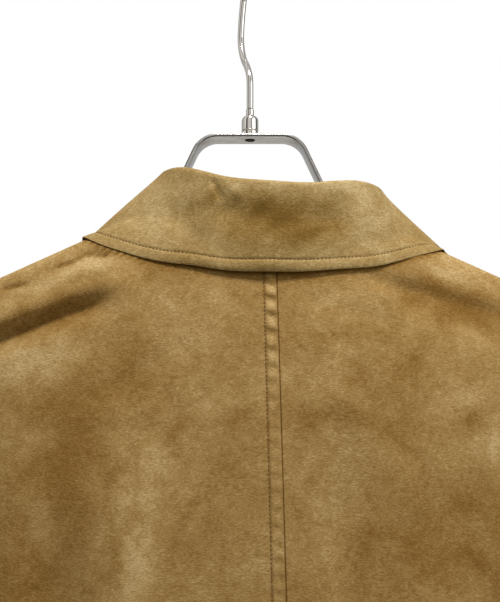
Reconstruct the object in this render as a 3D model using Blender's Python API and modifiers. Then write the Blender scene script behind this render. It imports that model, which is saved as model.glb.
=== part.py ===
"""A shirt jacket of suede-like cloth, hanging closed on a bent flat-bar steel hanger.

Units are metres, +Z is up. The origin is where a rail would bear: the inside top of the hook.
The jacket's front faces -Y and its back +Y, so the wearer's left is +X.
Each cloth piece is a thin wall: an outer skin worked out from the jacket's sizes, and an inner
skin one cloth thickness behind it. Neighbouring pieces stop a seam gap short of each other.
"""
import math

import bmesh
import bpy
from mathutils import Matrix, Vector

MM = 0.001
SEAM_GAP = 0.3 * MM
HALF_GAP = SEAM_GAP / 2
CLOTH = 1.6 * MM            # body and sleeves
DOUBLE_CLOTH = 2.2 * MM     # collar, stand and cuffs: two layers pressed together

# Hanger
BAR_DEPTH = 20 * MM
BAR_THICK = 2.8 * MM
BAR_TOP_Z = -131 * MM
CROWN_HALF = 38 * MM        # the top's corners, before they are bent round
SHOULDER_BEND_X = 67 * MM   # where the leg turns into the arm
ARM_TIP_X = 204 * MM
CROWN_BEND = 20 * MM
ARM_BEND = 8 * MM
REST_AT_TIP = 2.3 * MM          # the bar's top below the cloth's inner face at the arm's tip
REST_AT_NECK = 4.2 * MM         # and where the arm meets the leg, clear of the neck seam
PIVOT_HOLE = 8.2 * MM
FERRULE_RADIUS = 6.7 * MM
FERRULE_HEIGHT = 16.5 * MM
WIRE_RADIUS = 2.7 * MM
HOOK_TURN = math.radians(22)    # the hook's plane, turned this far from front-to-back
BEARING_HEIGHT = 131 * MM       # the origin above the bar's top face

# The line where back and front meet over the hanger's arms
RIDGE_X = 191 * MM
RIDGE_Z = -245 * MM
RIDGE_FALL = 0.4557
DROOP_FROM = 208 * MM           # past the bar's tip the shoulder droops
DROOP = 8.0

# Body
HANG_X = -14 * MM               # the jacket hangs this far to the wearer's right of the hook
NECK_HALF = 89 * MM
SHOULDER_HALF = 238 * MM
ARMHOLE_DROP = 232 * MM
CHEST_HALF = 245 * MM
HEM_HALF = 252 * MM
HEM_Z = -941 * MM
WAIST_Z = -503 * MM            # below here the sides run straight to the hem
DEPTH = {"back": 68 * MM, "front": 72 * MM}
NECK_DEPTH = {"back": 40 * MM, "front": 58 * MM}
NECK_DROP = {"back": 24.7 * MM, "front": 81 * MM}
NECK_CURVE = 2.4                # how square the neck is at the shoulders
ARMHOLE_SCOOP = {"back": 20 * MM, "front": 28 * MM}
SECTION_POWER = 2.6
BAR_ROUND = 1.2 * MM            # how fast the cloth turns over the bar's edges
DRAPE_LENGTH = 150 * MM         # how fast it then swells to its full depth
CENTRE_BACK_X = -19 * MM        # the centre back seam at CENTRE_BACK_Z
CENTRE_BACK_Z = -249 * MM
CENTRE_BACK_DRIFT = 0.0227      # it leans this much towards the wearer's right, going down
OVERLAP = 18 * MM               # each front passes the centre line by this much
OVERLAP_COLUMNS = 4             # across the whole lap
LAYER = 2.4 * MM                # the lower front lies this far under the upper one

# How finely the walls are cut up
NECK_COLUMNS = 8
SHOULDER_COLUMNS = 8
ARMHOLE_ROWS = 12
SKIRT_ROWS = 7
SLEEVE_RINGS = 18

# Large folds of the body. A fold runs from (x0, z0) to (x1, z1) in mm; rise is out of the
# cloth when positive and into it when negative; width is its half-width, both in mm.
FOLD_COLUMNS = ("face", "x0", "z0", "x1", "z1", "width", "rise")
FOLDS = [dict(zip(FOLD_COLUMNS, row)) for row in (
    ("back", 92, -266, 214, -307, 11, -7.0),     # drag fold under the left shoulder
    ("back", 84, -249, 190, -281, 11, 3.0),      # the ridge above it
    ("back", -104, -261, -196, -291, 13, -4.0),  # right shoulder
    ("back", 82, -368, 92, -923, 26, 4.0),       # soft fall on the left
    ("back", 132, -423, 150, -923, 22, -5.0),
    ("back", -58, -361, -104, -923, 24, -5.0),   # soft fall on the right
    ("back", -128, -443, -160, -923, 24, 4.5),
    ("back", 206, -463, 150, -643, 18, -5.0),    # pulls from the armholes
    ("back", -212, -473, -160, -663, 18, -5.0),
    ("front", 96, -271, 200, -313, 13, -6.0),
    ("front", -108, -269, -204, -315, 13, -6.0),
    ("front", 92, -443, 112, -923, 24, -5.5),
    ("front", -120, -463, -132, -923, 24, -5.5),
    ("front", 168, -493, 176, -923, 22, 4.5),
    ("front", -190, -503, -184, -923, 22, 4.5),
)]
FOLD_EASE = 22 * MM             # folds die out this near the shoulder and the neck

# Sleeve rings, in mm. The outer point is measured out and down from the shoulder tip, the
# inner one from the underarm; depth is half the ring's size from back to front.
RING_COLUMNS = ("outer_out", "outer_down", "inner_out", "inner_down", "depth")
RINGS = [dict(zip(RING_COLUMNS, row)) for row in (
    (15, 9, 3, 5, 50),
    (39, 27, 8, 16, 57),
    (66, 60, 12, 36, 61),
    (88, 112, 13, 64, 62),
    (102, 175, 13, 100, 61),
    (110, 245, 14, 142, 59),
    (115, 318, 17, 188, 57),
    (118, 392, 22, 232, 53),
    (119, 460, 29, 267, 48),
    (117, 530, 37, 298, 42),
)]
# Sleeve folds: where along the sleeve (0 to 1) and round it (degrees, 0 outer, 90 back),
# how far they slant along it over their reach, half-width along it, reach round it, rise in mm.
SLEEVE_FOLD_COLUMNS = ("along", "round", "slant", "width", "reach", "rise")
SLEEVE_FOLDS = [dict(zip(SLEEVE_FOLD_COLUMNS, row)) for row in (
    (0.30, 150, 0.10, 0.040, 70, -6.0),
    (0.47, 215, -0.08, 0.035, 75, -6.5),
    (0.56, 185, 0.06, 0.035, 70, -6.0),
    (0.66, 240, -0.06, 0.040, 60, -5.0),
    (0.84, 120, 0.05, 0.040, 60, -4.0),
)]

CUFF_HEIGHT = 65 * MM
CUFF_OVERLAP = 0.42             # radians that the cuff's end laps over its start

# Collar stations. angle is round the neck from the centre back, positive to the wearer's
# left; lean moves the stand's top out (+) or in (-); pitch is the leaf's fall below level;
# sweep moves the leaf's edge away from the centre front. Lengths are in mm.
COLLAR_COLUMNS = ("angle", "stand", "lean", "leaf", "pitch", "sweep")
COLLAR = [dict(zip(COLLAR_COLUMNS, row)) for row in (
    (-172, 25, 1, 70, 82, 46),
    (-160, 26, 0, 75, 78, 33),
    (-135, 25, -4, 75, 68, 10),
    (-110, 22, -8, 76, 53, 0),
    (-90, 25, -9, 72, 45, 0),
    (-70, 26, -5.5, 62, 66, 0),
    (-45, 32.5, -3, 66, 82, 0),
    (-20, 36.5, -1, 64, 86, 0),
    (0, 38.8, 1, 65, 86, 0),
    (20, 35.4, -1, 68, 86, 0),
    (45, 34, -7, 75, 80, 0),
    (70, 29, -12, 76, 61, 0),
    (90, 29.7, -13, 85, 42.5, 0),
    (110, 24, -10, 82, 52, 0),
    (135, 25, -5, 77, 68, 10),
    (160, 26, 0, 76, 78, 33),
    (172, 25, 1, 70, 82, 46),
)]
ROLL_RADIUS = 4.4 * MM          # the leaf's roll over the top of the stand
LEAF_BOW = 1.6 * MM
RIDGE_ROLL = 0.12               # how fast the shoulder line's top falls away to each side
COLLAR_CLEAR = 3.6 * MM         # outer face of the leaf above the outer face of the body
LEAF_END = 175                  # the leaf's ends, in degrees round the neck

BUTTON_RADIUS = 9 * MM
BUTTON_THICK = 3.2 * MM
BUTTON_SEAT = 0.5 * MM
FRONT_BUTTONS = 6
FIRST_BUTTON_Z = -323 * MM
BUTTON_PITCH = 96 * MM
BUTTON_SIDES = 16

SIDES = {"left": 1, "right": -1}
FACES = {"back": 1, "front": -1}


def lerp(a, b, t):
    """The value a share t of the way from a to b."""
    return a + (b - a) * t


def clamp(value, low=0.0, high=1.0):
    """The value kept between low and high."""
    return max(low, min(high, value))


def smooth(t):
    """An eased step from 0 to 1."""
    t = clamp(t)
    return t * t * (3 - 2 * t)


def table_value(rows, key, column, at):
    """A smooth curve through one column of a table whose rows are sorted by key."""
    keys = [row[key] for row in rows]
    last = len(rows) - 1
    i = 0
    while i < last - 1 and at > keys[i + 1]:
        i += 1
    before, after = max(i - 1, 0), min(i + 2, last)
    start, end = rows[i][column], rows[i + 1][column]
    span = keys[i + 1] - keys[i]
    slope_in = (end - rows[before][column]) / (keys[i + 1] - keys[before]) * span
    slope_out = (rows[after][column] - start) / (keys[after] - keys[i]) * span
    t = (at - keys[i]) / span
    return ((2 * t**3 - 3 * t**2 + 1) * start + (t**3 - 2 * t**2 + t) * slope_in
            + (3 * t**2 - 2 * t**3) * end + (t**3 - t**2) * slope_out)


# ---------------------------------------------------------------- the body's skin

def ridge_z(x):
    """Height of the shoulder line over the hanger."""
    droop = max(0.0, abs(x) - DROOP_FROM)
    return RIDGE_Z + RIDGE_FALL * (RIDGE_X - abs(x)) - DROOP * droop**2


def tip(side):
    """x and z of a shoulder tip."""
    x = HANG_X + SIDES[side] * SHOULDER_HALF
    return x, ridge_z(x)


def underarm(side):
    """x and z of the foot of an armhole."""
    return HANG_X + SIDES[side] * CHEST_HALF, tip(side)[1] - ARMHOLE_DROP


def neck_point(angle):
    """The neck seam at an angle round the neck."""
    face = "back" if math.cos(angle) >= 0 else "front"
    sides = [ridge_z(HANG_X + sign * NECK_HALF) for sign in (-1, 1)]
    level = (sides[1] + sides[0]) / 2 + (sides[1] - sides[0]) / 2 * math.sin(angle)
    fall = NECK_DROP[face] * abs(math.cos(angle)) ** NECK_CURVE
    return Vector((HANG_X + NECK_HALF * math.sin(angle), NECK_DEPTH[face] * math.cos(angle),
                   level - fall))


def top_of(face, x):
    """Height and depth of a panel's top edge at x: the neck curve, then the shoulder."""
    across = (x - HANG_X) / NECK_HALF
    if abs(across) >= 1:
        return ridge_z(x), 0.0
    angle = math.asin(across)
    if face == "front":
        angle = math.pi - angle
    point = neck_point(angle)
    return point.z, abs(point.y)


def fold_rise(face, x, z):
    """How far the large folds move the cloth out at (x, z)."""
    total = 0.0
    for fold in FOLDS:
        if fold["face"] != face:
            continue
        ax, az = fold["x0"] * MM, fold["z0"] * MM
        bx, bz = fold["x1"] * MM - ax, fold["z1"] * MM - az
        share = ((x - ax) * bx + (z - az) * bz) / (bx * bx + bz * bz)
        near = clamp(share)
        distance = math.hypot(x - ax - near * bx, z - az - near * bz)
        taper = smooth(share * 5 + 0.4) * smooth((1 - share) * 6 + 1)
        total += fold["rise"] * MM * taper * math.exp(-(distance / (fold["width"] * MM))**2)
    return total


def body_depth(face, x, z):
    """How far the panel's outer face stands from the jacket's middle plane at (x, z)."""
    top, top_depth = top_of(face, x)
    below = top - z
    if below <= 0:
        return top_depth
    skirt = clamp((z - WAIST_Z) / (HEM_Z - WAIST_Z))
    half = lerp(CHEST_HALF, HEM_HALF, skirt)
    across = abs(x - HANG_X) / half
    if across >= 1:
        return 0.0
    round_side = (1 - across**SECTION_POWER) ** (1 / SECTION_POWER)
    full = DEPTH[face] * round_side
    bar = min(BAR_DEPTH / 2, full)
    over_bar = bar * (1 - math.exp(-below / BAR_ROUND))
    hang = over_bar + (full - bar) * math.sqrt(1 - math.exp(-below / DRAPE_LENGTH))
    depth = math.hypot(top_depth * math.exp(-below / (2 * DRAPE_LENGTH)), hang)
    ease = (1 - math.exp(-below / FOLD_EASE)) * clamp(round_side * 1.6)
    return depth + ease * fold_rise(face, x, z)


def tuck(face, side, x):
    """How far the lower front dips under the upper one near the centre."""
    if face == "back" or side == "left":
        return 0.0
    return -LAYER * smooth((x - HANG_X + 56 * MM) / (32 * MM))


def body_point(face, side, x, z):
    """A point of a panel's outer face."""
    depth = HALF_GAP + body_depth(face, x, z) + tuck(face, side, x)
    return Vector((x, FACES[face] * depth, z))


def body_normal(face, side, x, z, step=0.4 * MM):
    """The outward direction of a panel at (x, z)."""
    def depth(px, pz):
        return body_depth(face, px, pz) + tuck(face, side, px)
    slope_x = (depth(x + step, z) - depth(x - step, z)) / (2 * step)
    slope_z = (depth(x, z + step) - depth(x, z - step)) / (2 * step)
    return Vector((-slope_x, FACES[face], -slope_z)).normalized()


def armhole_x(face, side, z):
    """x of a panel's side edge at height z: the armhole, then the side seam."""
    tip_z, arm_z = tip(side)[1], underarm(side)[1]
    sign = SIDES[side]
    if z >= arm_z:
        share = clamp((tip_z - z) / ARMHOLE_DROP)
        half = lerp(SHOULDER_HALF, CHEST_HALF, share)
        return HANG_X + sign * (half - ARMHOLE_SCOOP[face] * math.sin(math.pi * share))
    skirt = clamp((z - WAIST_Z) / (HEM_Z - WAIST_Z))
    return HANG_X + sign * lerp(CHEST_HALF, HEM_HALF, skirt)


def inner_edge_x(face, side, z):
    """x of a panel's edge at the centre back seam or past the centre front."""
    sign = SIDES[side]
    if face == "back":
        seam = CENTRE_BACK_X + CENTRE_BACK_DRIFT * (z - CENTRE_BACK_Z)
        return seam + sign * HALF_GAP
    return HANG_X - sign * OVERLAP


def row_share(row):
    """Rows crowd at the shoulder and at the foot of the armhole."""
    return ((1 - math.cos(math.pi * row / ARMHOLE_ROWS)) / 2) ** 1.45


def neck_angles(face, side):
    """Angles round the neck, in degrees, of a panel's columns from its centre edge out."""
    sign = SIDES[side]
    if face == "back":
        seam = inner_edge_x(face, side, neck_point(0).z)
        start, angles = math.degrees(math.asin((seam - HANG_X) / NECK_HALF)), []
    else:
        laps = [lerp(-OVERLAP, OVERLAP, i / OVERLAP_COLUMNS) for i in range(OVERLAP_COLUMNS)]
        angles = [sign * (180 - math.degrees(math.asin(lap / NECK_HALF))) for lap in laps]
        start = sign * (180 - math.degrees(math.asin(OVERLAP / NECK_HALF)))
    return angles + [lerp(start, sign * 90, i / NECK_COLUMNS) for i in range(NECK_COLUMNS + 1)]


def panel_grid(face, side):
    """Outer points and outward directions of a body panel, row by row from its top."""
    sign = SIDES[side]
    angles = neck_angles(face, side)
    neck_columns = len(angles) - 1
    tops = [neck_point(math.radians(angle)).x for angle in angles]
    for c in range(1, SHOULDER_COLUMNS + 1):
        reach = math.sin(math.pi / 2 * c / SHOULDER_COLUMNS)
        tops.append(HANG_X + sign * lerp(NECK_HALF, SHOULDER_HALF, reach))
    shares = [(x - tops[0]) / (tops[-1] - tops[0]) for x in tops]
    arm_z = underarm(side)[1]
    points, normals = [], []
    for row in range(ARMHOLE_ROWS + SKIRT_ROWS + 1):
        point_row, normal_row = [], []
        for column, (share, top_x) in enumerate(zip(shares, tops)):
            if row <= ARMHOLE_ROWS:
                z = lerp(top_of(face, top_x)[0], arm_z, row_share(row))
            else:
                z = lerp(arm_z, HEM_Z, (row - ARMHOLE_ROWS) / SKIRT_ROWS)
            x = lerp(inner_edge_x(face, side, z), armhole_x(face, side, z), share)
            if row == 0:
                x = top_x
            point = body_point(face, side, x, z)
            normal = body_normal(face, side, x, z)
            on_shoulder = row == 0 and column >= neck_columns
            on_side_seam = column == len(tops) - 1 and row >= ARMHOLE_ROWS
            if on_shoulder or on_side_seam:
                point.y = FACES[face] * HALF_GAP
                normal.y = 0
                normal.normalize()
            point_row.append(point)
            normal_row.append(normal)
        points.append(point_row)
        normals.append(normal_row)
    return points, normals


# ---------------------------------------------------------------- sleeves and cuffs

def sleeve_ring(side, along, angle):
    """A point of the plain sleeve: along 0 is the first ring, 1 the cuff seam."""
    sign = SIDES[side]
    at = along * (len(RINGS) - 1)
    rows = [dict(ring, at=i) for i, ring in enumerate(RINGS)]
    ring = {c: table_value(rows, "at", c, at) * MM for c in RING_COLUMNS}
    (tip_x, tip_z), (arm_x, arm_z) = tip(side), underarm(side)
    outer = Vector((tip_x + sign * ring["outer_out"], 0, tip_z - ring["outer_down"]))
    inner = Vector((arm_x + sign * ring["inner_out"], 0, arm_z - ring["inner_down"]))
    rise = 0.0
    for fold in SLEEVE_FOLDS:
        turn = (math.degrees(angle) - fold["round"] + 180) % 360 - 180
        across = along - fold["along"] - fold["slant"] * turn / fold["reach"]
        rise += fold["rise"] * MM * math.exp(-(across / fold["width"])**2
                                             - (turn / fold["reach"])**2)
    swell = 1 + rise / ring["depth"]
    middle, arm = (outer + inner) / 2, (outer - inner) / 2
    return middle + (arm * math.cos(angle)
                     + Vector((0, ring["depth"] * math.sin(angle), 0))) * swell


def armhole_loop(side):
    """The armhole's edge points and directions, from the shoulder down the back and round."""
    loop = []
    for face, rows in (("back", range(ARMHOLE_ROWS)), ("front", range(ARMHOLE_ROWS, 0, -1))):
        tip_z, arm_z = tip(side)[1], underarm(side)[1]
        for row in rows:
            z = lerp(tip_z, arm_z, row_share(row))
            x = armhole_x(face, side, z)
            point, normal = body_point(face, side, x, z), body_normal(face, side, x, z)
            if row in (0, ARMHOLE_ROWS):
                point.y = normal.y = 0
                normal.normalize()
            loop.append((point, normal))
    return loop


def sleeve_grid(side):
    """Outer points and outward directions of a sleeve, ring by ring from the armhole."""
    sign = SIDES[side]
    loop = armhole_loop(side)
    around = len(loop)
    angles = [math.tau * j / around for j in range(around)]
    lift = Vector((0, 0, SEAM_GAP))
    first = []
    for (point, _), angle in zip(loop, angles):
        low = smooth(-math.cos(angle) * 4 - 3)
        first.append(point + Vector((sign * SEAM_GAP, 0, 0)) + lift * low)
    rings = [first]
    for k in range(SLEEVE_RINGS):
        along = (k / (SLEEVE_RINGS - 1)) ** 1.15
        rings.append([sleeve_ring(side, along, angle) for angle in angles])
    normals = ring_normals(rings, sign)
    for j, angle in enumerate(angles):
        hold = (1 + math.cos(angle)) / 2
        normals[0][j] = (loop[j][1] * hold + normals[0][j] * (1 - hold)).normalized()
    return rings, normals


def ring_normals(rings, sign):
    """Outward directions of a tube's points, from their neighbours."""
    normals = []
    last = len(rings) - 1
    for k, ring in enumerate(rings):
        row = []
        for j in range(len(ring)):
            round_it = ring[(j + 1) % len(ring)] - ring[j - 1]
            along = rings[min(k + 1, last)][j] - rings[max(k - 1, 0)][j]
            row.append(round_it.cross(along).normalized() * -sign)
        normals.append(row)
    return normals


def cuff_grid(side):
    """A band below the sleeve whose end laps over its start at the back."""
    sign = SIDES[side]
    tip_x, tip_z = tip(side)
    arm_x, arm_z = underarm(side)
    seam = RINGS[-1]
    outer_x = tip_x + sign * seam["outer_out"] * MM
    inner_x = arm_x + sign * seam["inner_out"] * MM
    top_z = (tip_z - seam["outer_down"] * MM + arm_z - seam["inner_down"] * MM) / 2
    half = abs(outer_x - inner_x) / 2
    start = math.radians(100)
    turns, rows = 30, 3
    points, normals = [], []
    for row in range(rows + 1):
        share = row / rows
        z = top_z - SEAM_GAP - share * CUFF_HEIGHT
        point_row, normal_row = [], []
        for j in range(turns + 1):
            travel = (math.tau + CUFF_OVERLAP) * j / turns
            angle = start + travel
            lap = smooth((travel - math.tau + 0.45) / 0.4) * (DOUBLE_CLOTH + SEAM_GAP + 0.2 * MM)
            flare = 1.5 * MM * share + lap
            out = Vector((sign * math.cos(angle) * seam["depth"] * MM, math.sin(angle) * half, 0))
            point = Vector(((outer_x + inner_x) / 2 + sign * math.cos(angle) * (half + flare),
                            math.sin(angle) * (seam["depth"] * MM + flare), z))
            point_row.append(point)
            normal_row.append(out.normalized())
        points.append(point_row)
        normals.append(normal_row)
    return points, normals


# ---------------------------------------------------------------- collar

def collar_value(column, degrees):
    """One column of the collar table at an angle round the neck."""
    low, high = COLLAR[0]["angle"], COLLAR[-1]["angle"]
    return table_value(COLLAR, "angle", column, clamp(degrees, low, high))


def stand_lap(degrees):
    """The stand's right end lies inside its left end at the centre front."""
    return -(DOUBLE_CLOTH + SEAM_GAP + 0.2 * MM) * smooth((-degrees - 152) / 14)


def outward(degrees):
    """The level direction out of the neck at an angle round it."""
    angle = math.radians(degrees)
    return Vector((math.sin(angle), math.cos(angle), 0))


def stand_point(degrees, share):
    """The stand's outer face, share 0 at the neck seam and 1 at its top."""
    base = neck_point(math.radians(degrees))
    lean = collar_value("lean", degrees) * MM * share
    height = SEAM_GAP + 0.5 * MM + (collar_value("stand", degrees) * MM - 0.5 * MM) * share
    return base + outward(degrees) * (lean + stand_lap(degrees)) + Vector((0, 0, height))


def collar_angles(reach):
    """Angles of the collar's stations: where the panels' columns meet the neck seam."""
    found = []
    for face in FACES:
        for side in SIDES:
            found += neck_angles(face, side)
    stations = []
    for angle in sorted(found):
        if abs(angle) <= reach and (not stations or angle - stations[-1] > 0.5):
            stations.append(angle)
    return stations


def stand_grid():
    """The stand: a band round the neck, its ends overlapping at the front."""
    rows = 3
    stations = collar_angles(360)
    points = [[stand_point(d, 1 - row / rows) for d in stations] for row in range(rows + 1)]
    normals = [[outward(d) for d in stations] for row in range(rows + 1)]
    return points, normals


def clear_of_body(point, clear):
    """The point moved out, if it must be, to stand clear of the body's outer face."""
    face = "back" if point.y >= 0 else "front"
    top, _ = top_of(face, point.x)
    beyond_neck = abs(point.x - HANG_X) >= NECK_HALF
    if point.z >= top:
        gap = point.z - top + abs(point.y) * RIDGE_ROLL
        return point + Vector((0, 0, max(0.0, clear - gap) if beyond_neck else 0))
    normal = body_normal(face, "left", point.x, point.z)
    gap = (abs(point.y) - HALF_GAP - body_depth(face, point.x, point.z)) * abs(normal.y)
    return point + normal * max(0.0, clear - gap)


def leaf_point(degrees, share):
    """The leaf's outer face, share 0 at the stand's top and 1 at its free edge."""
    out = outward(degrees)
    up = Vector((0, 0, 1))
    pitch = math.radians(collar_value("pitch", degrees))
    length = collar_value("leaf", degrees) * MM
    start = stand_point(degrees, 1) + up * SEAM_GAP - out * stand_lap(degrees)
    middle = start + out * ROLL_RADIUS
    turn_end = math.pi / 2 - pitch
    roll = (math.pi - turn_end) * ROLL_RADIUS
    travel = share * (roll + length)
    if travel <= roll:
        turn = math.pi - travel / ROLL_RADIUS
        return middle + (out * math.cos(turn) + up * math.sin(turn)) * ROLL_RADIUS
    fall = (travel - roll) / length
    point = middle + (out * math.cos(turn_end) + up * math.sin(turn_end)) * ROLL_RADIUS
    down = out * math.cos(pitch) - up * math.sin(pitch)
    bow = out * math.sin(pitch) + up * math.cos(pitch)
    point += down * (length * fall) + bow * (LEAF_BOW * math.sin(math.pi * fall))
    away = Vector((-out.y, out.x, 0)) * (1 if degrees < 0 else -1)
    sweep = collar_value("sweep", degrees) * MM
    point -= away * sweep * fall
    return clear_of_body(point, COLLAR_CLEAR * smooth(fall * 2.2))


def leaf_grid():
    """The leaf, row by row from the stand's top over the roll to its free edge."""
    shares = [0, 0.05, 0.10, 0.155, 0.26, 0.40, 0.55, 0.70, 0.85, 1.0]
    points = [[leaf_point(d, share) for d in collar_angles(LEAF_END)] for share in shares]
    return points, grid_normals(points)


def grid_normals(points):
    """Outward directions of an open grid's points, from their neighbours."""
    rows, columns = len(points), len(points[0])
    normals = []
    for i in range(rows):
        row = []
        for j in range(columns):
            down = points[min(i + 1, rows - 1)][j] - points[max(i - 1, 0)][j]
            across = points[i][min(j + 1, columns - 1)] - points[i][max(j - 1, 0)]
            row.append(down.cross(across).normalized())
        normals.append(row)
    return normals


# ---------------------------------------------------------------- making objects

def wall_object(name, points, normals, thickness, material, ring=False):
    """A closed wall: the outer skin, the inner skin behind it, and the rims between."""
    rows, columns = len(points), len(points[0])
    mesh = bpy.data.meshes.new(name)
    bm = bmesh.new()
    outer = [[bm.verts.new(p) for p in row] for row in points]
    inner = [[bm.verts.new(p - n * thickness) for p, n in zip(point_row, normal_row)]
             for point_row, normal_row in zip(points, normals)]
    steps = range(columns if ring else columns - 1)
    for i in range(rows - 1):
        for j in steps:
            k = (j + 1) % columns
            bm.faces.new((outer[i][j], outer[i + 1][j], outer[i + 1][k], outer[i][k]))
            bm.faces.new((inner[i][j], inner[i][k], inner[i + 1][k], inner[i + 1][j]))
    for j in steps:
        k = (j + 1) % columns
        bm.faces.new((outer[0][j], outer[0][k], inner[0][k], inner[0][j]))
        bm.faces.new((outer[-1][j], inner[-1][j], inner[-1][k], outer[-1][k]))
    if not ring:
        for i in range(rows - 1):
            bm.faces.new((outer[i][0], inner[i][0], inner[i + 1][0], outer[i + 1][0]))
            bm.faces.new((outer[i][-1], outer[i + 1][-1], inner[i + 1][-1], inner[i][-1]))
    bmesh.ops.triangulate(bm, faces=bm.faces[:])
    bmesh.ops.recalc_face_normals(bm, faces=bm.faces[:])
    bm.to_mesh(mesh)
    bm.free()
    return finish_object(name, mesh, material)


def finish_object(name, mesh, material):
    """An object from a mesh, smooth but for its sharp edges, in the jacket's collection."""
    mesh.materials.append(material)
    mesh.shade_smooth()
    mesh.set_sharp_from_angle(angle=math.radians(40))
    obj = bpy.data.objects.new(name, mesh)
    JACKET.objects.link(obj)
    return obj


def turned_object(name, profile, steps, material, place=None):
    """A turned solid from a profile of (radius, height), listed from its top down."""
    mesh = bpy.data.meshes.new(name)
    vertices = [(radius, 0, height) for radius, height in profile]
    mesh.from_pydata(vertices, [(i, i + 1) for i in range(len(profile) - 1)], [])
    obj = finish_object(name, mesh, material)
    screw = obj.modifiers.new("Turn", "SCREW")
    screw.steps = screw.render_steps = steps
    screw.use_merge_vertices = True
    screw.merge_threshold = 0.00005
    if place is not None:
        obj.matrix_world = place
    return obj


def make_material(name, colour, roughness, metallic=0.0):
    """A plain Principled material."""
    material = bpy.data.materials.new(name)
    material.use_nodes = True
    shader = material.node_tree.nodes["Principled BSDF"]
    shader.inputs["Base Color"].default_value = (*colour, 1)
    shader.inputs["Roughness"].default_value = roughness
    shader.inputs["Metallic"].default_value = metallic
    material.diffuse_color = (*colour, 1)
    return material


def collection(name):
    """A new collection in the scene."""
    group = bpy.data.collections.new(name)
    bpy.context.scene.collection.children.link(group)
    return group


# ---------------------------------------------------------------- hanger

def bend(before, corner, after, radius, steps=5):
    """The points of a round bend in place of a corner, all as (x, z)."""
    corner = Vector(corner)
    one = (Vector(before) - corner).normalized()
    two = (Vector(after) - corner).normalized()
    half = one.angle(two) / 2
    reach = radius / math.tan(half)
    middle = corner + (one + two).normalized() * (radius / math.sin(half))
    start, end = corner + one * reach - middle, corner + two * reach - middle
    sweep = start.angle_signed(end)
    return [middle + Matrix.Rotation(-sweep * i / steps, 2) @ start for i in range(steps + 1)]


def bar_route():
    """The middle line of the hanger's bar as (x, z), from the left tip to the right one."""
    level = BAR_TOP_Z - BAR_THICK / 2
    slant = math.hypot(1, RIDGE_FALL)
    neck_clear = (CLOTH + REST_AT_NECK + BAR_THICK / 2) * slant
    tip_clear = (CLOTH + REST_AT_TIP + BAR_THICK / 2) * slant
    arm_bend = Vector((SHOULDER_BEND_X, ridge_z(SHOULDER_BEND_X) - neck_clear))
    arm_tip = Vector((ARM_TIP_X, ridge_z(ARM_TIP_X) - tip_clear))
    crown = Vector((CROWN_HALF, level))
    half = [arm_tip]
    half += bend(arm_tip, arm_bend, crown, ARM_BEND)
    half += bend(arm_bend, crown, (0, level), CROWN_BEND)
    return half + [Vector((-p.x, p.y)) for p in reversed(half)]


def make_bar(material):
    """The flat bar, an outline one bar thick on edge, pierced for the hook's pivot."""
    route = bar_route()
    upper, lower = [], []
    for i, point in enumerate(route):
        along = (route[min(i + 1, len(route) - 1)] - route[max(i - 1, 0)]).normalized()
        side = Vector((along.y, -along.x)) * (BAR_THICK / 2)
        upper.append(point + side)
        lower.append(point - side)
    curve = bpy.data.curves.new("bar_outline", "CURVE")
    curve.dimensions = "2D"
    curve.fill_mode = "BOTH"
    curve.extrude = BAR_DEPTH / 2
    spline = curve.splines.new("POLY")
    outline = upper + lower[::-1]
    spline.points.add(len(outline) - 1)
    for place, point in zip(spline.points, outline):
        place.co = (point.x, point.y, 0, 1)
    spline.use_cyclic_u = True
    guide = bpy.data.objects.new("bar_outline", curve)
    guide.rotation_euler = (math.pi / 2, 0, 0)
    JACKET.objects.link(guide)
    bpy.context.view_layer.update()
    mesh = bpy.data.meshes.new_from_object(guide.evaluated_get(bpy.context.evaluated_depsgraph_get()))
    mesh.transform(guide.matrix_world)
    bpy.data.objects.remove(guide)
    bm = bmesh.new()
    bm.from_mesh(mesh)
    bmesh.ops.remove_doubles(bm, verts=bm.verts[:], dist=0.00001)
    bm.to_mesh(mesh)
    bm.free()
    bar = finish_object("hanger_bar", mesh, material)

    bpy.ops.mesh.primitive_cylinder_add(vertices=20, radius=PIVOT_HOLE / 2, depth=BAR_THICK * 4,
                                        location=(0, 0, BAR_TOP_Z - BAR_THICK / 2))
    drill = bpy.context.object
    drill.name = "pivot_drill"
    drill.hide_render = True
    drill.display_type = "WIRE"
    for group in list(drill.users_collection):
        group.objects.unlink(drill)
    CUTTERS.objects.link(drill)
    cut = bar.modifiers.new("Pivot hole", "BOOLEAN")
    cut.object = drill
    cut.operation = "DIFFERENCE"


def make_ferrule(material):
    """The hook's ferrule: a grooved barrel on the bar, its pivot passing down the hole."""
    base = BAR_TOP_Z + SEAM_GAP
    top = base + FERRULE_HEIGHT
    collar = WIRE_RADIUS + 0.3 * MM
    groove = base + 4 * MM
    pin = PIVOT_HOLE / 2 - 0.4 * MM
    profile = [
        (0, top + 6 * MM), (collar, top + 6 * MM), (collar, top),
        (FERRULE_RADIUS - 2.2 * MM, top), (FERRULE_RADIUS, top - 2.6 * MM),
        (FERRULE_RADIUS, groove + 1 * MM), (FERRULE_RADIUS - 0.8 * MM, groove),
        (FERRULE_RADIUS, groove - 1 * MM), (FERRULE_RADIUS, base), (pin, base),
        (pin, base - BAR_THICK), (0, base - BAR_THICK),
    ]
    turned_object("hanger_ferrule", profile, 18, material)


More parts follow.
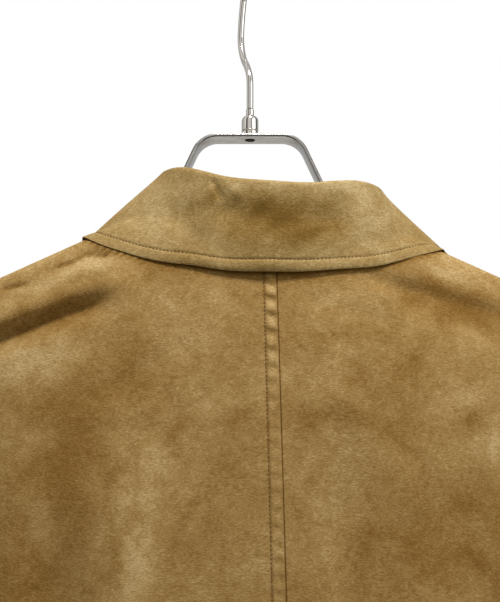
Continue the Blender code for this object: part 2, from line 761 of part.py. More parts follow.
def hook_route():
    """The hook's middle line as (reach, height above the bar), smooth through these places."""
    columns = ("reach", "height")
    places = [dict(zip(columns, row)) for row in (
        (0, 23.2), (0, 43), (1.5, 52), (6.3, 60.7), (13.1, 69.5), (18.3, 80.3), (20.3, 90.5),
        (19.6, 99), (18.2, 107), (16.2, 115), (13.4, 123), (8, 130.5), (0, 133.7),
        (-8.5, 131.5), (-15.5, 125), (-19.5, 116), (-20.5, 108),
    )]
    rows = [dict(place, at=i) for i, place in enumerate(places)]
    count = 2 * (len(places) - 1)
    return [tuple(table_value(rows, "at", c, i / 2) * MM for c in columns)
            for i in range(count + 1)]


def make_hook(material):
    """The wire hook, its inside top at the origin."""
    curve = bpy.data.curves.new("hanger_hook", "CURVE")
    curve.dimensions = "3D"
    curve.bevel_depth = WIRE_RADIUS
    curve.bevel_resolution = 2
    curve.use_fill_caps = True
    spline = curve.splines.new("POLY")
    route = hook_route()
    spline.points.add(len(route) - 1)
    for place, (reach, height) in zip(spline.points, route):
        place.co = (reach * math.sin(HOOK_TURN), -reach * math.cos(HOOK_TURN),
                    height - BEARING_HEIGHT, 1)
    curve.materials.append(material)
    hook = bpy.data.objects.new("hanger_hook", curve)
    JACKET.objects.link(hook)


# ---------------------------------------------------------------- buttons

def seat(point, normal):
    """The place of a button that sits just above a point, its face along the normal."""
    turn = normal.to_track_quat("Z", "Y").to_matrix().to_4x4()
    return Matrix.Translation(point + normal * BUTTON_SEAT) @ turn


def make_button(name, place, material):
    """A plain disc with a rounded rim and a dished face."""
    rim, thick = BUTTON_RADIUS, BUTTON_THICK
    profile = [
        (0, thick - 0.8 * MM), (rim - 3 * MM, thick - 0.8 * MM), (rim - 1.8 * MM, thick),
        (rim - 0.7 * MM, thick), (rim, thick - 0.8 * MM), (rim, 0.8 * MM),
        (rim - 0.8 * MM, 0), (0, 0),
    ]
    turned_object(name, profile, BUTTON_SIDES, material, place)


def make_buttons(material):
    """The stand's button, the front's row and one on each cuff."""
    stand = stand_point(180, 0.5)
    make_button("button_neck", seat(stand, Vector((0, -1, 0))), material)
    for i in range(FRONT_BUTTONS):
        z = FIRST_BUTTON_Z - i * BUTTON_PITCH
        place = seat(body_point("front", "left", HANG_X, z),
                     body_normal("front", "left", HANG_X, z))
        make_button(f"button_front_{i + 1}", place, material)
    for side in SIDES:
        points, normals = cuff_grid(side)
        column = len(points[0]) - 2
        middle = (points[1][column] + points[2][column]) / 2
        make_button(f"button_cuff_{side}", seat(middle, normals[1][column]), material)


# ---------------------------------------------------------------- the whole

for old in list(bpy.data.objects):
    bpy.data.objects.remove(old)
JACKET = collection("shirt_jacket_on_hanger")
CUTTERS = collection("cutters")

suede = make_material("suede", (0.36, 0.24, 0.095), 0.95)
suede_double = make_material("suede_double", (0.40, 0.27, 0.11), 0.95)
steel = make_material("hanger_steel", (0.62, 0.60, 0.57), 0.28, 1.0)
horn = make_material("button", (0.10, 0.06, 0.03), 0.35)

for panel_face in FACES:
    for panel_side in SIDES:
        wall_object(f"{panel_face}_{panel_side}", *panel_grid(panel_face, panel_side), CLOTH, suede)
for sleeve_side in SIDES:
    wall_object(f"sleeve_{sleeve_side}", *sleeve_grid(sleeve_side), CLOTH, suede, ring=True)
    wall_object(f"cuff_{sleeve_side}", *cuff_grid(sleeve_side), DOUBLE_CLOTH, suede_double)
wall_object("collar_stand", *stand_grid(), DOUBLE_CLOTH, suede_double)
wall_object("collar_leaf", *leaf_grid(), DOUBLE_CLOTH, suede_double)
make_bar(steel)
make_ferrule(steel)
make_hook(steel)
make_buttons(horn)
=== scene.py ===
"""Looks of a suede-like shirt jacket that hangs closed on a bent flat-bar steel hanger.

Units are metres and +Z is up. The back faces +Y and the wearer's left is +X; the origin is the
inside top of the hook, where a rail bears. Each cloth piece is a thin shell worked out from the
same sizes as its solid, at a finer step, with its creases, seams, topstitching and nap.
"""
import logging
import math
from dataclasses import dataclass, field
from enum import Enum
from typing import Callable, Sequence

import bmesh
import bpy
import numpy as np
from mathutils import Matrix, Vector


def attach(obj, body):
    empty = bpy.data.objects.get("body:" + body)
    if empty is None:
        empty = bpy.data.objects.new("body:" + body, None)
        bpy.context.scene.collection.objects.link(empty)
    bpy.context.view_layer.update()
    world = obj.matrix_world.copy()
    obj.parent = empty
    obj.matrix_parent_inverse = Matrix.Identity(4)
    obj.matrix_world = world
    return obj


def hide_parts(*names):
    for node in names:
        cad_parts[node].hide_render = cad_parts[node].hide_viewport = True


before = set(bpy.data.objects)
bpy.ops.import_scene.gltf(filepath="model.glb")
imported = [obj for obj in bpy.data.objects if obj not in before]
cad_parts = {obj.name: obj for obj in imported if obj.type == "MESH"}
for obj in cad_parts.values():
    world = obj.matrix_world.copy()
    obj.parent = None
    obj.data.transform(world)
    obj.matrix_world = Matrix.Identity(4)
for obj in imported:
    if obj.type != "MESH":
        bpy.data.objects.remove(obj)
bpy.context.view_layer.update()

LOG = logging.getLogger("shirt_jacket")
MM = 0.001
SEAM_GAP = 0.3 * MM
HALF_GAP = SEAM_GAP / 2
CLOTH = 1.6 * MM
DOUBLE_CLOTH = 2.2 * MM
STITCH_PITCH = 2.9 * MM
TAU = math.tau
Array = np.ndarray


class Side(Enum):
    """Which of the wearer's sides a piece is on; the value is the sign of X."""

    LEFT = 1
    RIGHT = -1


class Face(Enum):
    """Whether a panel is of the back or the front; the value is the sign of Y."""

    BACK = 1
    FRONT = -1


class Slot(Enum):
    """The record's material slots."""

    SUEDE = "suede"
    DOUBLE = "suede_double"
    STEEL = "hanger_steel"
    BUTTON = "button"


# ------------------------------------------------------------------ small helpers


def lerp(start: Array, end: Array, share: Array) -> Array:
    """The value a share of the way from start to end."""
    return start + (end - start) * share


def smooth(share: Array) -> Array:
    """An eased step from 0 to 1."""
    share = np.clip(share, 0.0, 1.0)
    return share * share * (3 - 2 * share)


def bell(distance: Array, width: float) -> Array:
    """A round bump: 1 at no distance, fading over the width."""
    return np.exp(-((distance / width) ** 2))


def unit(vectors: Array) -> Array:
    """The vectors at length 1."""
    return vectors / np.maximum(np.linalg.norm(vectors, axis=-1, keepdims=True), 1e-12)


def stack(x: Array, y: Array, z: Array) -> Array:
    """Points from their three coordinates, which may be numbers or arrays."""
    return np.stack(np.broadcast_arrays(x, y, z), axis=-1).astype(float)


@dataclass(frozen=True)
class TableCurve:
    """A smooth curve through the places of one column of a short table."""

    keys: Array
    values: Array

    def at(self, where: Array) -> Array:
        """Reads the curve.

        Args:
            where: places along the table's keys.

        Returns:
            The curve's values there.
        """
        keys, values = self.keys, self.values
        last = len(keys) - 1
        i = np.clip(np.searchsorted(keys, where) - 1, 0, last - 1)
        before, after = np.maximum(i - 1, 0), np.minimum(i + 2, last)
        start, end, span = values[i], values[i + 1], keys[i + 1] - keys[i]
        slope_in = (end - values[before]) / (keys[i + 1] - keys[before]) * span
        slope_out = (values[after] - start) / (keys[after] - keys[i]) * span
        t = (where - keys[i]) / span
        return ((2 * t**3 - 3 * t**2 + 1) * start + (t**3 - 2 * t**2 + t) * slope_in
                + (3 * t**2 - 2 * t**3) * end + (t**3 - t**2) * slope_out)


def curves(columns: Sequence[str], rows: Sequence[Sequence[float]], key: str | None = None,
           scale: float = 1.0) -> dict[str, TableCurve]:
    """Makes a curve of each column of a table.

    Args:
        columns: the columns' names.
        rows: the table's rows.
        key: the column that the others are read along, or None for the row's number.
        scale: what the values, but not the keys, are multiplied by.

    Returns:
        The curves by column name.
    """
    table = np.array(rows, float).T
    keys = table[columns.index(key)] if key else np.arange(len(rows), dtype=float)
    return {name: TableCurve(keys, values * scale) for name, values in zip(columns, table)}


# ------------------------------------------------------------------ folds, nap and painted shade


@dataclass(frozen=True)
class Fold:
    """A soft trough or ridge of hanging cloth, in mm: from one place to another as seen from
    behind, its half-width, and how far it rises out of the cloth or, below 0, sinks into it."""

    x0: float
    z0: float
    x1: float
    z1: float
    width: float
    rise: float

    def height(self, x: Array, z: Array) -> Array:
        """How far the fold moves the cloth out.

        Args:
            x: places across the jacket, in metres.
            z: their heights.

        Returns:
            The rise there, in metres.
        """
        ax, az = self.x0 * MM, self.z0 * MM
        bx, bz = self.x1 * MM - ax, self.z1 * MM - az
        share = ((x - ax) * bx + (z - az) * bz) / (bx * bx + bz * bz)
        near = np.clip(share, 0, 1)
        distance = np.hypot(x - ax - near * bx, z - az - near * bz)
        taper = smooth(share * 5 + 0.4) * smooth((1 - share) * 6 + 1)
        return self.rise * MM * taper * bell(distance, self.width * MM)


@dataclass(frozen=True)
class NapAndShadePatch:
    """A lighter or darker patch: the nap's own tone, and at some folds and creases painted shade and
    highlights; a soft slanted oval, in mm and degrees, with a tone above 0 for lighter and below 0 for
    darker."""

    x: float
    z: float
    reach: float
    rise: float
    turn: float
    tone: float

    def shade(self, x: Array, z: Array) -> Array:
        """The patch's tone.

        Args:
            x: places across the jacket, in metres.
            z: their heights.

        Returns:
            How much lighter or darker the patch makes the cloth there.
        """
        turn = math.radians(self.turn)
        dx, dz = x / MM - self.x, z / MM - self.z
        stray = min(4.0, 0.3 * self.reach, 0.3 * self.rise)
        dx, dz = (dx + stray * np.sin(dz / 6.1 + 1.7 * np.sin(dx / 9.0)),
                  dz + stray * np.sin(dx / 5.3 + 1.5 * np.sin(dz / 7.7)))
        along = (dx * math.cos(turn) + dz * math.sin(turn)) / self.reach
        across = (dz * math.cos(turn) - dx * math.sin(turn)) / self.rise
        return self.tone * np.exp(-((along**2 + across**2) ** 1.3))


BACK_FOLDS = tuple(Fold(*sizes) for sizes in (
    (104, -266, 214, -307, 8.5, -7.5),
    (84, -250, 190, -281, 11, 3.5),
    (-104, -261, -196, -291, 13, -4.0),
    (82, -368, 92, -923, 26, 4.0),
    (132, -423, 150, -923, 22, -5.0),
    (-58, -361, -104, -923, 24, -5.0),
    (-128, -443, -160, -923, 24, 4.5),
    (206, -463, 150, -643, 18, -5.0),
    (-212, -473, -160, -663, 18, -5.0),
))
FRONT_FOLDS = tuple(Fold(*sizes) for sizes in (
    (96, -271, 200, -313, 13, -6.0),
    (-108, -269, -204, -315, 13, -6.0),
    (92, -443, 112, -923, 24, -5.5),
    (-120, -463, -132, -923, 24, -5.5),
    (168, -493, 176, -923, 22, 4.5),
    (-190, -503, -184, -923, 22, 4.5),
))
BACK_CREASES = tuple(Fold(*sizes) for sizes in (
    (102, -234, 126, -230, 2.1, -5.0),
    (125, -234, 134, -238, 2.0, -4.0),
    (135, -239, 147, -241.5, 2.0, -3.6),
    (164, -253.5, 184, -256.5, 2.1, -4.2),
    (98, -240, 150, -252, 4.5, 1.3),
    (120, -268, 206, -300, 9.0, -1.6),
    (-84, -249, -184, -276, 7.0, -2.8),
    (-118, -231, -172, -248, 6.0, 1.2),
    (40, -300, 96, -330, 7.0, -0.7),
    (60, -345, 140, -352, 9.0, 0.8),
    (-70, -250, -118, -262, 5.0, -0.9),
    (-40, -268, -100, -284, 7.0, -0.8),
    (-60, -330, -110, -410, 11.0, 0.9),
    (20, -520, 34, -760, 15.0, -1.6),
    (-44, -560, -36, -860, 14.0, 1.5),
    (176, -600, 110, -700, 12.0, -1.8),
    (-196, -640, -120, -720, 13.0, -1.7),
))
FRONT_CREASES = tuple(Fold(*sizes) for sizes in (
    (60, -300, 120, -350, 8.0, -1.0),
    (-80, -310, -140, -372, 9.0, -1.1),
    (30, -410, 44, -640, 13.0, -1.4),
    (-52, -430, -60, -700, 13.0, 1.4),
    (190, -560, 120, -650, 13.0, -2.0),
    (-204, -570, -130, -680, 13.0, -1.8),
    (60, -700, 70, -900, 12.0, 1.2),
))
COLLAR_CREASES = tuple(Fold(*sizes) for sizes in (
    (28, -178, 22, -192, 2.6, -1.7),
    (18, -181, 8, -192, 3.2, 0.7),
    (6, -199, 58, -203, 8.0, -1.1),
    (24, -206, -66, -208, 13.0, -3.4),
    (-44, -184, -70, -196, 5.0, -0.5),
))
# Tone patches of the back: mostly the nap's own light and dark patches; the groups marked below are painted
# shade and highlights.
BACK_NAP_AND_SHADE = tuple(NapAndShadePatch(*sizes) for sizes in (
    # Painted shade in the left shoulder's trough, then in the creases under the collar's left tip.
    (150, -279, 50, 9, -20, -0.30),
    (114, -231, 12, 1.7, 10, -0.30),
    (130, -235.5, 5, 1.7, -27, -0.25),
    (141, -239.5, 7, 1.7, -10, -0.25),
    (174, -254, 10, 1.8, -8, -0.25),
    (-49, -254, 30, 5, 6, -0.10),
    (152, -354, 15, 13, 0, -0.14),
    (130, -350, 10, 17, 0, -0.07),
    (91, -390, 10, 11, 0, -0.22),
    (117, -426, 9, 18, 0, -0.14),
    (88, -434, 8, 16, 0, -0.20),
    (70, -434, 6, 44, 2, 0.18),
    (55, -353, 11, 14, 0, 0.12),
    (7, -339, 16, 7, 0, 0.15),
    (-37, -386, 9, 13, 0, 0.14),
    (-24, -325, 7, 10, 0, 0.10),
    (-76, -322, 14, 10, 0, -0.10),
    (-127, -332, 11, 12, 0, -0.12),
    (-154, -359, 16, 6, 0, -0.14),
    (-122, -450, 26, 14, 0, -0.15),
    (-90, -338, 26, 20, 0, -0.11),
    # Painted highlight on the ridge above the left trough, a lighter patch below it, and painted shade on
    # the trough's lower edge.
    (136, -247, 48, 7, -21, 0.20),
    (154, -311, 38, 17, -8, 0.20),
    (150, -291, 46, 7, -20, -0.10),
    (122, -362, 20, 46, 0, -0.15),
    (154, -390, 22, 14, 10, -0.12),
    (87, -318, 17, 30, 0, -0.12),
    (154, -465, 40, 25, 0, -0.20),
    (129, -417, 8, 40, 0, -0.10),
    (85, -412, 7, 42, -4, 0.20),
    (66, -372, 10, 26, -30, 0.12),
    (79, -456, 6, 26, 0, 0.14),
    (50, -358, 8, 10, 0, -0.14),
    (45, -420, 6, 18, 20, -0.12),
    (7, -350, 14, 13, 0, -0.15),
    (17, -410, 16, 36, 0, -0.08),
    (35, -287, 30, 30, 0, 0.12),
    (31, -350, 16, 24, 0, 0.08),
    (-49, -317, 24, 22, 0, 0.08),
    (-50, -350, 28, 8, -3, -0.11),
    (-56, -390, 18, 48, 0, 0.08),
    (-94, -362, 26, 7, 30, -0.11),
    (-115, -310, 15, 14, -20, -0.12),
    (-155, -351, 13, 8, 0, -0.26),
    (-170, -370, 7, 16, 0, 0.16),
    (-140, -336, 22, 6, 0, 0.09),
    (-126, -423, 46, 42, 0, -0.14),
    (-37, -403, 8, 40, 0, -0.09),
    (-168, -463, 14, 40, 0, -0.12),
    (-75, -445, 7, 30, 10, -0.09),
    # Painted shadow under the right shoulder's fold, then painted highlights along both shoulder ridges and
    # above the right fold.
    (-154, -271, 46, 16, 14, -0.34),
    (150, -230, 62, 8, -24, 0.16),
    (-150, -232, 62, 9, 24, 0.14),
    (-146, -246, 34, 5.5, 17, 0.20),
    (-56, -268, 12, 5, -20, 0.09),
    (60, -560, 30, 60, 10, -0.12),
    (-40, -620, 34, 70, 0, 0.10),
    (150, -650, 40, 60, 0, 0.12),
    (-150, -640, 36, 50, -10, -0.10),
    (20, -800, 60, 50, 5, -0.10),
    (-120, -820, 50, 60, 0, 0.09),
    (140, -860, 46, 40, 0, -0.10),
))
# Tone patches of the collar: darker across its middle, lighter at the sides; the ones marked below are
# painted shade and highlights.
COLLAR_NAP_AND_SHADE = tuple(NapAndShadePatch(*sizes) for sizes in (
    (-8, -201, 13, 8, -10, -0.25),
    (-25, -208, 15, 9, 25, -0.24),
    (-42, -221, 14, 7, -15, -0.26),
    (-17, -214, 24, 12, 0, -0.26),
    (-52, -217, 14, 8, 0, -0.12),
    # Painted shade in the crease, then a painted highlight on its other wall.
    (27, -189, 8, 9, 15, -0.24),
    (14, -188, 6, 5, -40, 0.12),
    (-52, -203, 26, 15, 8, -0.14),
    (-6, -208, 38, 20, 0, -0.16),
    (26, -208, 20, 15, 0, -0.12),
    (-18, -229, 38, 6, 0, -0.06),
    (60, -202, 22, 24, 0, 0.08),
    (-100, -205, 24, 20, 0, 0.16),
    # Painted highlight along the top of the roll.
    (-29, -182, 80, 5, 0, 0.14),
    (76, -200, 20, 26, 0, 0.06),
))
FRONT_NAP = tuple(NapAndShadePatch(*sizes) for sizes in (
    (60, -340, 40, 30, -10, 0.12),
    (-90, -330, 44, 26, 12, -0.14),
    (120, -430, 30, 50, 0, -0.14),
    (-40, -450, 26, 54, 0, 0.10),
    (-150, -520, 34, 40, 0, -0.12),
    (70, -600, 34, 60, 8, 0.12),
    (-80, -700, 40, 50, 0, -0.12),
    (150, -760, 36, 60, 0, -0.10),
    (-150, -820, 40, 50, 0, 0.11),
))


# ------------------------------------------------------------------ the jacket's cut


@dataclass(frozen=True)
class JacketCut:
    """The jacket's sizes as it hangs, and the skin of its panels worked out from them."""

    ridge_x: float = 191 * MM
    ridge_height: float = -245 * MM
    ridge_fall: float = 0.4557
    droop_from: float = 208 * MM
    droop: float = 8.0
    hang_x: float = -14 * MM
    neck_half: float = 89 * MM
    shoulder_half: float = 238 * MM
    armhole_drop: float = 232 * MM
    chest_half: float = 245 * MM
    hem_half: float = 252 * MM
    hem_z: float = -941 * MM
    waist_z: float = -503 * MM
    back_depth: float = 68 * MM
    front_depth: float = 72 * MM
    back_neck_depth: float = 40 * MM
    front_neck_depth: float = 58 * MM
    back_neck_drop: float = 24.7 * MM
    front_neck_drop: float = 81 * MM
    neck_curve: float = 2.4
    back_scoop: float = 20 * MM
    front_scoop: float = 28 * MM
    section_power: float = 2.6
    bar_half: float = 10 * MM
    bar_round: float = 1.2 * MM
    drape_length: float = 150 * MM
    fold_ease: float = 22 * MM
    neck_spread: float = 0.35
    soften: float = 12 * MM
    seam_x: float = -19 * MM
    seam_at_z: float = -249 * MM
    seam_drift: float = 0.0227
    overlap: float = 18 * MM
    layer: float = 2.4 * MM

    def ridge(self, x: Array) -> Array:
        """Height of the shoulder line over the hanger at x."""
        past = np.maximum(np.abs(x) - self.droop_from, 0)
        return self.ridge_height + self.ridge_fall * (self.ridge_x - np.abs(x)) - self.droop * past**2

    def tip(self, side: Side) -> tuple[float, float]:
        """x and z of a shoulder tip."""
        x = self.hang_x + side.value * self.shoulder_half
        return x, float(self.ridge(x))

    def underarm(self, side: Side) -> tuple[float, float]:
        """x and z of the foot of an armhole."""
        return self.hang_x + side.value * self.chest_half, self.tip(side)[1] - self.armhole_drop

    def neck(self, angle: Array) -> Array:
        """Finds points of the neck seam.

        Args:
            angle: round the neck from the centre back, in radians, positive to the left.

        Returns:
            The points.
        """
        back = np.cos(angle) >= 0
        depth = np.where(back, self.back_neck_depth, self.front_neck_depth)
        drop = np.where(back, self.back_neck_drop, self.front_neck_drop)
        low, high = (float(self.ridge(self.hang_x + s * self.neck_half)) for s in (-1, 1))
        level = (high + low) / 2 + (high - low) / 2 * np.sin(angle)
        fall = drop * np.abs(np.cos(angle)) ** self.neck_curve
        return stack(self.hang_x + self.neck_half * np.sin(angle), depth * np.cos(angle), level - fall)

    def top(self, face: Face, x: Array) -> tuple[Array, Array]:
        """Finds a panel's top edge.

        Args:
            face: back or front.
            x: places across.

        Returns:
            The edge's heights and its depths from the middle plane.
        """
        across = (x - self.hang_x) / self.neck_half
        angle = np.arcsin(np.clip(across, -1, 1))
        angle = angle if face is Face.BACK else math.pi - angle
        point = self.neck(angle)
        beside = np.abs(across) >= 1
        return (np.where(beside, self.ridge(x), point[..., 2]),
                np.where(beside, 0.0, np.abs(point[..., 1])))

    def depth(self, face: Face, x: Array, z: Array, side: Side | None = None) -> Array:
        """Finds how far a panel stands from the jacket's middle plane.

        Args:
            face: back or front.
            x: places across.
            z: their heights.
            side: the panel's side if its seams and fine creases count too.

        Returns:
            The depths, without the gap between the two faces.
        """
        top, top_depth = self.top(face, x)
        below = np.maximum(top - z, 0)
        around = sum(self.top(face, x + k * self.soften)[0] * w
                     for k, w in ((-2, 0.12), (-1, 0.22), (0, 0.32), (1, 0.22), (2, 0.12)))
        deep = 1 - np.exp(-below / (2 * self.soften))
        below = np.maximum(below + (around - top) * deep, 0)
        skirt = np.clip((z - self.waist_z) / (self.hem_z - self.waist_z), 0, 1)
        half = lerp(self.chest_half, self.hem_half, skirt)
        across = np.minimum(np.abs(x - self.hang_x) / half, 1)
        round_side = (1 - across**self.section_power) ** (1 / self.section_power)
        full = round_side * (self.back_depth if face is Face.BACK else self.front_depth)
        bar = np.minimum(self.bar_half, full)
        over_bar = bar * (1 - np.exp(-below / self.bar_round))
        hang = over_bar + (full - bar) * np.sqrt(1 - np.exp(-below / self.drape_length))
        neck_depth = self.back_neck_depth if face is Face.BACK else self.front_neck_depth
        inside = 1 - ((x - self.hang_x) / self.neck_half) ** 2
        spread = self.neck_spread * (1 - np.exp(-below / self.drape_length * 6))
        eased = neck_depth * np.sqrt((inside + np.hypot(inside, spread)) / 2)
        top_depth = np.where(below > 0, eased, top_depth)
        depth = np.hypot(top_depth * np.exp(-below / (2 * self.drape_length)), hang)
        ease = (1 - np.exp(-below / self.fold_ease)) * np.clip(round_side * 1.6, 0, 1)
        folds = BACK_FOLDS if face is Face.BACK else FRONT_FOLDS
        rise = sum(fold.height(x, z) for fold in folds)
        if side is not None:
            rise = rise + self.relief(face, side, x, z)
        return depth + ease * rise

    def relief(self, face: Face, side: Side, x: Array, z: Array) -> Array:
        """Finds the fine creases, seams and stitched edges of a panel.

        Args:
            face: back or front.
            side: left or right.
            x: places across.
            z: their heights.

        Returns:
            How far they raise the cloth.
        """
        creases = BACK_CREASES if face is Face.BACK else FRONT_CREASES
        rise = sum(crease.height(x, z) for crease in creases)
        if face is Face.BACK:
            rise = rise + CENTRE_SEAM.relief(side, (x - self.seam_centre(z)) * side.value, z)
        elif side is Side.LEFT:
            rise = rise + FRONT_EDGE.relief((x - self.centre_x(face, side, z)) * side.value, z)
        return rise + HEM_EDGE.relief(z - self.hem_z, x)

    def tuck(self, face: Face, side: Side, x: Array) -> Array:
        """How far the lower front dips under the upper one near the centre."""
        if face is Face.BACK or side is Side.LEFT:
            return np.zeros_like(x)
        return -self.layer * smooth((x - self.hang_x + 56 * MM) / (32 * MM))

    def skin(self, face: Face, side: Side, x: Array, z: Array, fine: bool = True) -> Array:
        """Finds points of a panel's outer face.

        Args:
            face: back or front.
            side: left or right.
            x: places across.
            z: their heights.
            fine: whether seams and fine creases count.

        Returns:
            The points.
        """
        x, z = np.broadcast_arrays(np.asarray(x, float), np.asarray(z, float))
        depth = self.depth(face, x, z, side if fine else None) + self.tuck(face, side, x)
        return stack(x, face.value * (HALF_GAP + depth), z)

    def skin_normal(self, face: Face, side: Side, x: Array, z: Array, fine: bool = False) -> Array:
        """Finds the outward directions of a panel.

        Args:
            face: back or front.
            side: left or right.
            x: places across.
            z: their heights.
            fine: whether seams and fine creases count.

        Returns:
            The directions.
        """
        step = 0.4 * MM
        ahead = self.skin(face, side, x + step, z, fine) - self.skin(face, side, x - step, z, fine)
        above = self.skin(face, side, x, z + step, fine) - self.skin(face, side, x, z - step, fine)
        return unit(np.cross(above, ahead)) * face.value

    def armhole_x(self, face: Face, side: Side, z: Array) -> Array:
        """Finds a panel's side edge: the armhole, then the side seam.

        Args:
            face: back or front.
            side: left or right.
            z: heights.

        Returns:
            x of the edge there.
        """
        tip_z, arm_z = self.tip(side)[1], self.underarm(side)[1]
        scoop = self.back_scoop if face is Face.BACK else self.front_scoop
        share = np.clip((tip_z - z) / self.armhole_drop, 0, 1)
        above = lerp(self.shoulder_half, self.chest_half, share) - scoop * np.sin(math.pi * share)
        skirt = np.clip((z - self.waist_z) / (self.hem_z - self.waist_z), 0, 1)
        half = np.where(z >= arm_z, above, lerp(self.chest_half, self.hem_half, skirt))
        return self.hang_x + side.value * half

    def seam_centre(self, z: Array) -> Array:
        """x of the centre back seam at height z."""
        return self.seam_x + self.seam_drift * (z - self.seam_at_z)

    def centre_x(self, face: Face, side: Side, z: Array) -> Array:
        """x of a panel's edge at the centre back seam or past the centre front."""
        if face is Face.BACK:
            return self.seam_centre(z) + side.value * HALF_GAP
        return np.full_like(np.asarray(z, float), self.hang_x - side.value * self.overlap)


# ------------------------------------------------------------------ seams and stitched edges


@dataclass(frozen=True)
class MockFelledSeam:
    """The centre back seam: its allowances are pressed to the left and topstitched down, so a
    band beside the seam stands a little proud and puckers between the two lines."""

    stitch: float = 9.3 * MM
    band: float = 0.55 * MM
    groove: float = 0.35 * MM
    pucker: float = 1.3 * MM
    pucker_pitch: float = 11 * MM
    pucker_slant: float = 0.16
    calm_z: float = -350 * MM
    roll: float = 0.16 * MM
    # Darker at the two lines, part pressed-flat nap and part painted shade of their grooves; lit is a
    # painted highlight on the puckers' upper faces; raised makes the band lighter.
    crushed_and_shade: float = -0.38
    lit: float = 0.17
    raised: float = 0.10

    def wave(self, distance: Array, z: Array) -> tuple[Array, Array, Array]:
        """Finds the puckers: narrow below their crests and wide above them.

        Args:
            distance: how far a place is from the seam on the left panel.
            z: its height.

        Returns:
            From -1 to 1 how high they stand and how far they face up, and how full they are there.
        """
        wander = 0.9 * np.sin(z / (31 * MM)) + 0.7 * np.sin(z / (17.3 * MM) + 1.2)
        phase = TAU * (z / self.pucker_pitch - self.pucker_slant * distance / self.stitch) + wander
        skewed = phase - 0.5 * np.sin(phase)
        swell = lerp(0.28, 1.0, smooth((z - self.calm_z) / (75 * MM))) * (0.8 + 0.2 * np.sin(z / (43 * MM)))
        inside = np.maximum(np.sin(math.pi * np.clip(distance / self.stitch, 0, 1)), 0) ** 0.8
        beyond = 0.22 * bell(distance - self.stitch - 2.5 * MM, 5 * MM) * (distance > self.stitch)
        return -np.sin(skewed), np.cos(skewed), swell * (inside + beyond)

    def tone(self, side: Side, distance: Array, z: Array) -> Array:
        """The seam's tone: darker at the two lines, pressed-flat nap with painted groove shade, and lighter
        over the band with painted highlights on the puckers' upper faces.
        """
        crushed_and_shade = self.crushed_and_shade * bell(distance, 0.45 * MM)
        if side is Side.RIGHT:
            return crushed_and_shade
        _, lit, full = self.wave(distance, z)
        band_and_pucker_light = (self.lit * lit + self.raised) * full
        # Painted shade along the stitch line's groove.
        return crushed_and_shade - 0.08 * bell(distance - self.stitch, 0.8 * MM) + band_and_pucker_light

    def relief(self, side: Side, distance: Array, z: Array) -> Array:
        """Finds the seam's form.

        Args:
            side: the panel's side.
            distance: how far a place is from the seam on that panel.
            z: its height.

        Returns:
            How far the cloth stands out there.
        """
        into = -self.roll * bell(distance, 0.5 * MM)
        if side is Side.RIGHT:
            return into * 0.9 + 0.12 * MM * bell(distance - 4 * MM, 3 * MM)
        raised = self.band * smooth(distance / (1.6 * MM)) * smooth((self.stitch - distance) / (1.8 * MM))
        pull = -self.groove * bell(distance - self.stitch, 0.75 * MM)
        height, _, full = self.wave(distance, z)
        return into + raised + pull + self.pucker * height * full


@dataclass(frozen=True)
class StitchedEdge:
    """A turned and topstitched edge: a puffed band between the edge and its stitches."""

    stitch: float
    puff: float
    groove: float
    groove_width: float = 0.8 * MM
    turn_in: float = 0.0

    def relief(self, distance: Array, along: Array, full: Array | float = 1.0) -> Array:
        """Finds the edge's form.

        Args:
            distance: how far a place is from the edge.
            along: its place along the edge, for the unevenness of hand-guided sewing.
            full: how much of the puff and of the turned edge's roll it has there.

        Returns:
            How far the cloth stands out there.
        """
        uneven = 1 + 0.22 * np.sin(along / (23 * MM)) + 0.14 * np.sin(along / (9.1 * MM) + 2)
        share = np.clip(distance / self.stitch, 0, 1)
        puffed = self.puff * uneven * np.sin(math.pi * share**1.25) ** 0.75
        sunk = -self.groove * bell(distance - self.stitch, self.groove_width)
        return (puffed - self.turn_in * bell(distance, 0.9 * MM)) * full + sunk


CENTRE_SEAM = MockFelledSeam()
FRONT_EDGE = StitchedEdge(stitch=6 * MM, puff=0.35 * MM, groove=0.4 * MM)
HEM_EDGE = StitchedEdge(stitch=20 * MM, puff=0.4 * MM, groove=0.45 * MM, groove_width=1.4 * MM)
COLLAR_EDGE = StitchedEdge(stitch=8.7 * MM, puff=1.15 * MM, groove=0.6 * MM, groove_width=0.9 * MM,
                           turn_in=0.5 * MM)
CUFF_EDGE = StitchedEdge(stitch=6 * MM, puff=0.35 * MM, groove=0.4 * MM)


# ------------------------------------------------------------------ meshes


def grid_normals(points: Array, ring: bool = False) -> Array:
    """Finds a grid's directions from its neighbours.

    Args:
        points: rows by columns of points.
        ring: whether each row closes on itself.

    Returns:
        Unit directions, outward where the rows run down and the columns run on to the viewer's right
        as seen from inside.
    """
    down = np.gradient(points, axis=0)
    if ring:
        across = np.roll(points, -1, axis=1) - np.roll(points, 1, axis=1)
    else:
        across = np.gradient(points, axis=1)
    return unit(np.cross(across, down))


